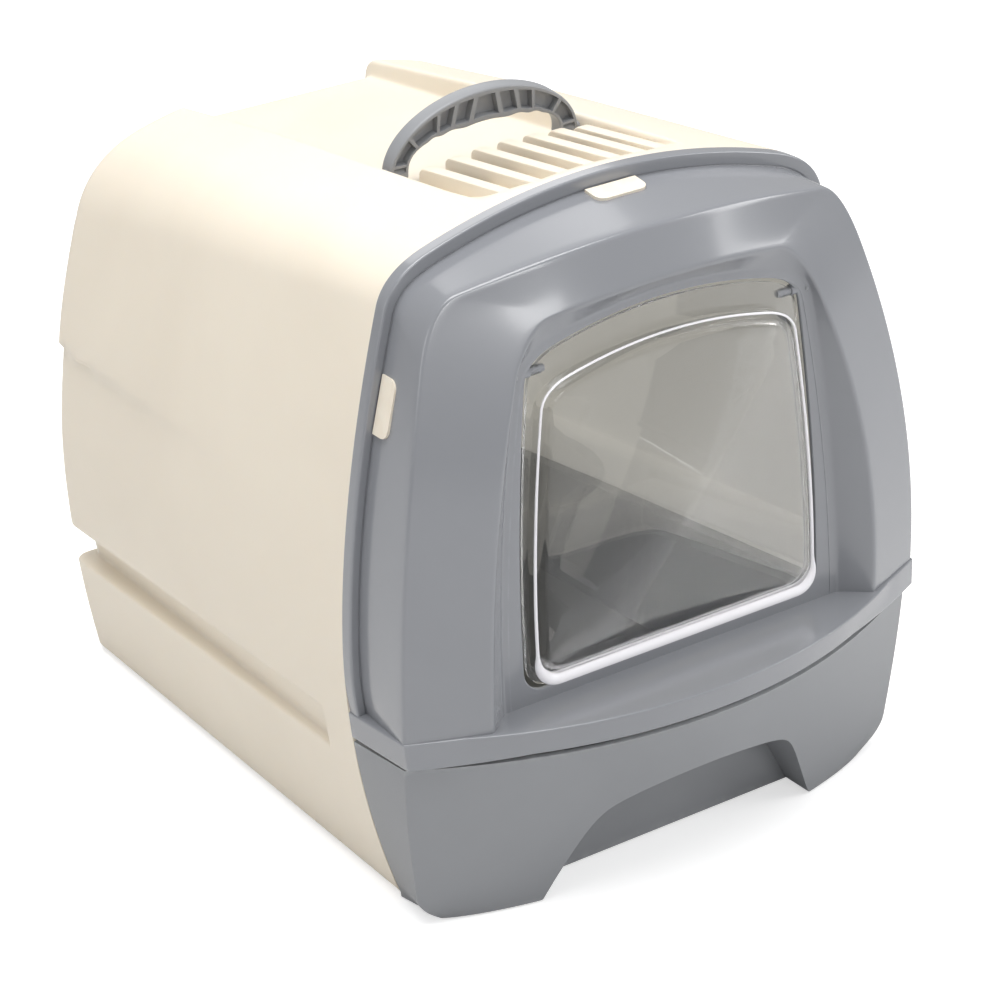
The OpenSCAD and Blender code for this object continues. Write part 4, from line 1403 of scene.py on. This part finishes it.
# ---------------------------------------------------------------- handle
@dataclass
class Handle:
    """The folding carry handle: a flat arch with ribbed pockets and finger scallops."""

    half_w: float = 77.5
    height: float = 49.0
    leg: float = 15.0
    grip: float = 25.0
    thick: float = 12.0
    lean: float = 7.0
    deep: float = 5.6
    eye_r: float = 6.0
    pivot_y: float = 143.0
    pivot_z: float = 458.63
    pockets: tuple = ((2.5, 8), (11, 34), (37.5, 59), (61.5, 71), (74, 83), (85.7, 94.3), (97, 106),
                      (109, 118.5), (121, 142.5), (146, 169), (172, 177.5))

    def between(self, k: Array, t: Array) -> Array:
        """A point between the outer arch (k = 0) and the inner one (k = 1) at angle t degrees.

        The outer arch is w cos t, h sin t; the inner one w (cos t)^(2/3), h (sin t)^(2/3), with
        five shallow scallops.

        Args:
            k: shares of the way in.
            t: angles in degrees, 0 at the right foot.

        Returns:
            X and Z of the points, (2, ...).
        """
        c, s = np.cos(np.radians(t)), np.sin(np.radians(t))
        s = np.maximum(s, 0)
        out = np.stack([self.half_w * c, self.height * s])
        w, h = self.half_w - self.leg, self.height - self.grip
        wave = 1.2 * np.sin(np.radians((t - 48) * 180 / 16.8)) ** 2 * ((t > 48) & (t < 132))
        inn = np.stack([np.sign(c) * w * np.abs(c) ** (2 / 3), h * s ** (2 / 3) + wave])
        return out * (1 - k) + inn * k

    def surface(self) -> Skin:
        """Front and back faces with pockets as steps in depth, joined over rounded edges.

        Returns:
            The arch and its two eyes, each closed.
        """
        t = [0.0]
        for a, b in self.pockets:
            t += [a - 0.5, a - 0.1, a + 0.1, a + 0.5] + list(np.linspace(a + 0.5, b - 0.5, 8)[1:]) + \
                 [b - 0.1, b + 0.1, b + 0.5]
        t = np.unique(np.round(np.array(t + [180.0, 1.5, 178.5, 90.0]), 3))
        edge = np.array([0, 0.012, 0.035, 0.07, 0.12, 0.17, 0.18, 0.19, 0.24, 0.35, 0.5, 0.65, 0.76,
                         0.81, 0.82, 0.83, 0.88, 0.93, 0.965, 0.988, 1.0])
        k = edge[:, None] * np.ones_like(t)
        tt = t[None] * np.ones_like(k)
        p = self.between(k, tt)
        inside = (k > 0.175) & (k < 0.825)
        within = np.zeros_like(inside)
        for a, b in self.pockets:
            within |= (tt > a) & (tt < b)
        round_off = np.clip(np.minimum(k, 1 - k) / 0.07, 0, 1)
        face = self.thick / 2 - 1.6 * (1 - np.sqrt(np.clip(1 - (1 - round_off) ** 2, 0, 1)))
        y = np.where(inside & within, self.thick / 2 - self.deep, face)
        skin = Skin()
        front = np.stack([p[0], -y, p[1]], -1)
        back = np.stack([p[0], y, p[1]], -1)
        shell_grids(skin, self.tilted(front), self.tilted(back))
        x0, x1, r = self.half_w - self.leg, self.half_w, self.eye_r
        eye = [(x1, 0.0), (x1, r - 0.8), (x1 - 0.8, r), (x0 + 0.8, r), (x0, r - 0.8), (x0, 0.0)]
        for s in (-1, 1):
            skin.grid(self.tilted(lathe(eye, s)), loop_cols=True)
        return skin

    def tilted(self, p: Array) -> Array:
        """Points in the handle's own axes leaned forward about the pivots and put in place.

        Args:
            p: points (..., 3), upright, with the pivots on the X axis.

        Returns:
            The points in place.
        """
        a = math.radians(self.lean)
        y = p[..., 1] * math.cos(a) - p[..., 2] * math.sin(a) + self.pivot_y
        z = p[..., 1] * math.sin(a) + p[..., 2] * math.cos(a) + self.pivot_z
        return np.stack([p[..., 0], y, z], -1)

    def build(self, satin: bpy.types.Material) -> None:
        """Builds the handle and dresses its pins.

        Args:
            satin: the finish of both.
        """
        finish_piece(self.surface().mesh("carry_grip"), Body.HANDLE, satin,
                     ("carry_handle",))
        dress(("handle_pin_left", "handle_pin_right"), satin)


# ---------------------------------------------------------------- studio
@dataclass(frozen=True)
class Lamp:
    """A soft rectangular lamp: where it is, what it faces, its size in metres, its watts."""

    name: str
    at: tuple
    aim: tuple
    size: tuple
    power: float

    def build(self) -> None:
        """Hangs the lamp and turns it to what it faces."""
        light = bpy.data.lights.new(self.name, "AREA")
        light.shape = "RECTANGLE"
        light.size, light.size_y = self.size
        light.energy = self.power
        lamp = bpy.data.objects.new(self.name, light)
        turn = (Vector(self.aim) - Vector(self.at)).to_track_quat("-Z", "Y").to_matrix().to_4x4()
        lamp.matrix_world = Matrix.Translation(Vector(self.at)) @ turn
        bpy.context.scene.collection.objects.link(lamp)


LAMPS = (Lamp("key", (-0.3, -0.3, 3.1), (0, 0, 0.2), (2.4, 2.0), 92),
         Lamp("side_fill", (-3.0, 0.2, 1.2), (0, 0, 0.25), (1.6, 1.2), 11),
         Lamp("front_fill", (2.6, -1.9, 1.5), (0, -0.2, 0.25), (1.4, 1.4), 32),
         Lamp("streak", (-0.35, -3.1, 1.35), (0, -0.2, 0.35), (1.5, 0.5), 17),
         Lamp("back_rim", (0.8, 2.4, 2.2), (0, 0, 0.3), (2.0, 1.4), 14))


@dataclass
class Studio:
    """Floor, lamps and camera."""

    eye: tuple = (-1.1534, -1.8505, 1.2148)
    azimuth: float = -32.316
    elevation: float = 25.364
    roll: float = -3.225
    lens: float = 118.75
    floor_half: float = 14.0
    floor_z: float = -0.0004
    floor_white: float = 0.74
    floor_lift: float = 0.55
    air: float = 0.4
    air_seen: float = 0.6

    def floor(self) -> None:
        """A wide, level, pale floor, lifted towards white where the camera sees it directly."""
        h, z, grey = self.floor_half, self.floor_z, self.floor_white
        mesh = bpy.data.meshes.new("studio_floor")
        mesh.from_pydata([(-h, -h, z), (h, -h, z), (h, h, z), (-h, h, z)], [], [(0, 1, 2, 3)])
        floor = bpy.data.objects.new("studio_floor", mesh)
        bpy.context.scene.collection.objects.link(floor)
        material, tree, shader = blank("studio_white")
        seen = put(tree, "ShaderNodeLightPath").outputs["Is Camera Ray"]
        feed(tree, shader, {
            "Base Color": (grey, grey, grey, 1), "Roughness": 0.9, "Specular IOR Level": 0.2,
            "Emission Color": (1, 1, 1, 1),
            "Emission Strength": calc(tree, "MULTIPLY", seen, self.floor_lift)})
        mesh.materials.append(material)

    def camera(self) -> None:
        """The camera: its axes from azimuth and elevation, then rolled about the view."""
        az, el, roll = map(math.radians, (self.azimuth, self.elevation, self.roll))
        back = Vector((math.sin(az) * math.cos(el), -math.cos(az) * math.cos(el), math.sin(el)))
        right = Vector((0, 0, 1)).cross(back).normalized()
        up = back.cross(right)
        c, s = math.cos(roll), math.sin(roll)
        x, y = c * right + s * up, -s * right + c * up
        data = bpy.data.cameras.new("view")
        data.lens = self.lens
        data.sensor_width = 36
        data.clip_end = 60
        cam = bpy.data.objects.new("view", data)
        turn = Matrix((x, y, back)).transposed().to_4x4()
        cam.matrix_world = Matrix.Translation(Vector(self.eye)) @ turn
        bpy.context.scene.collection.objects.link(cam)
        bpy.context.scene.camera = cam

    def build(self) -> None:
        """Sets up the studio."""
        self.camera()
        self.floor()
        for lamp in LAMPS:
            lamp.build()
        world = bpy.data.worlds.new("studio_air")
        world.use_nodes = True
        tree = world.node_tree
        seen = put(tree, "ShaderNodeLightPath").outputs["Is Camera Ray"]
        feed(tree, tree.nodes["Background"], {
            "Color": (1, 1, 1, 1),
            "Strength": calc(tree, "MULTIPLY_ADD", seen, self.air_seen, self.air)})
        bpy.context.scene.world = world
        bpy.context.scene.view_settings.view_transform = "Standard"


def main() -> None:
    """Builds the litter box from its sub-assemblies, in order, and reports each piece."""
    logging.basicConfig(level=logging.INFO, format="%(name)s %(message)s")
    Studio().build()
    groups = surface_groups()
    cream, inside, gloss, satin, dark, carbon, clear, edge = [finish.build(groups) for finish in (
        CREAM, INSIDE_PAINTED_LIGHT, GREY_GLOSS, GREY_SATIN, DARK_GREY, CARBON, CLEAR, CLEAR_BEAD_PAINTED_HIGHLIGHT)]
    Housing().build(cream, inside)
    front = FrontFrame()
    front.build(gloss, cream)
    Door(front).build(clear, edge, satin)
    Drawer().build(satin, dark)
    Handle().build(satin)
    dress(("filter_cover",), satin)
    dress(("carbon_filter",), carbon)


if __name__ == "__main__":
    main()
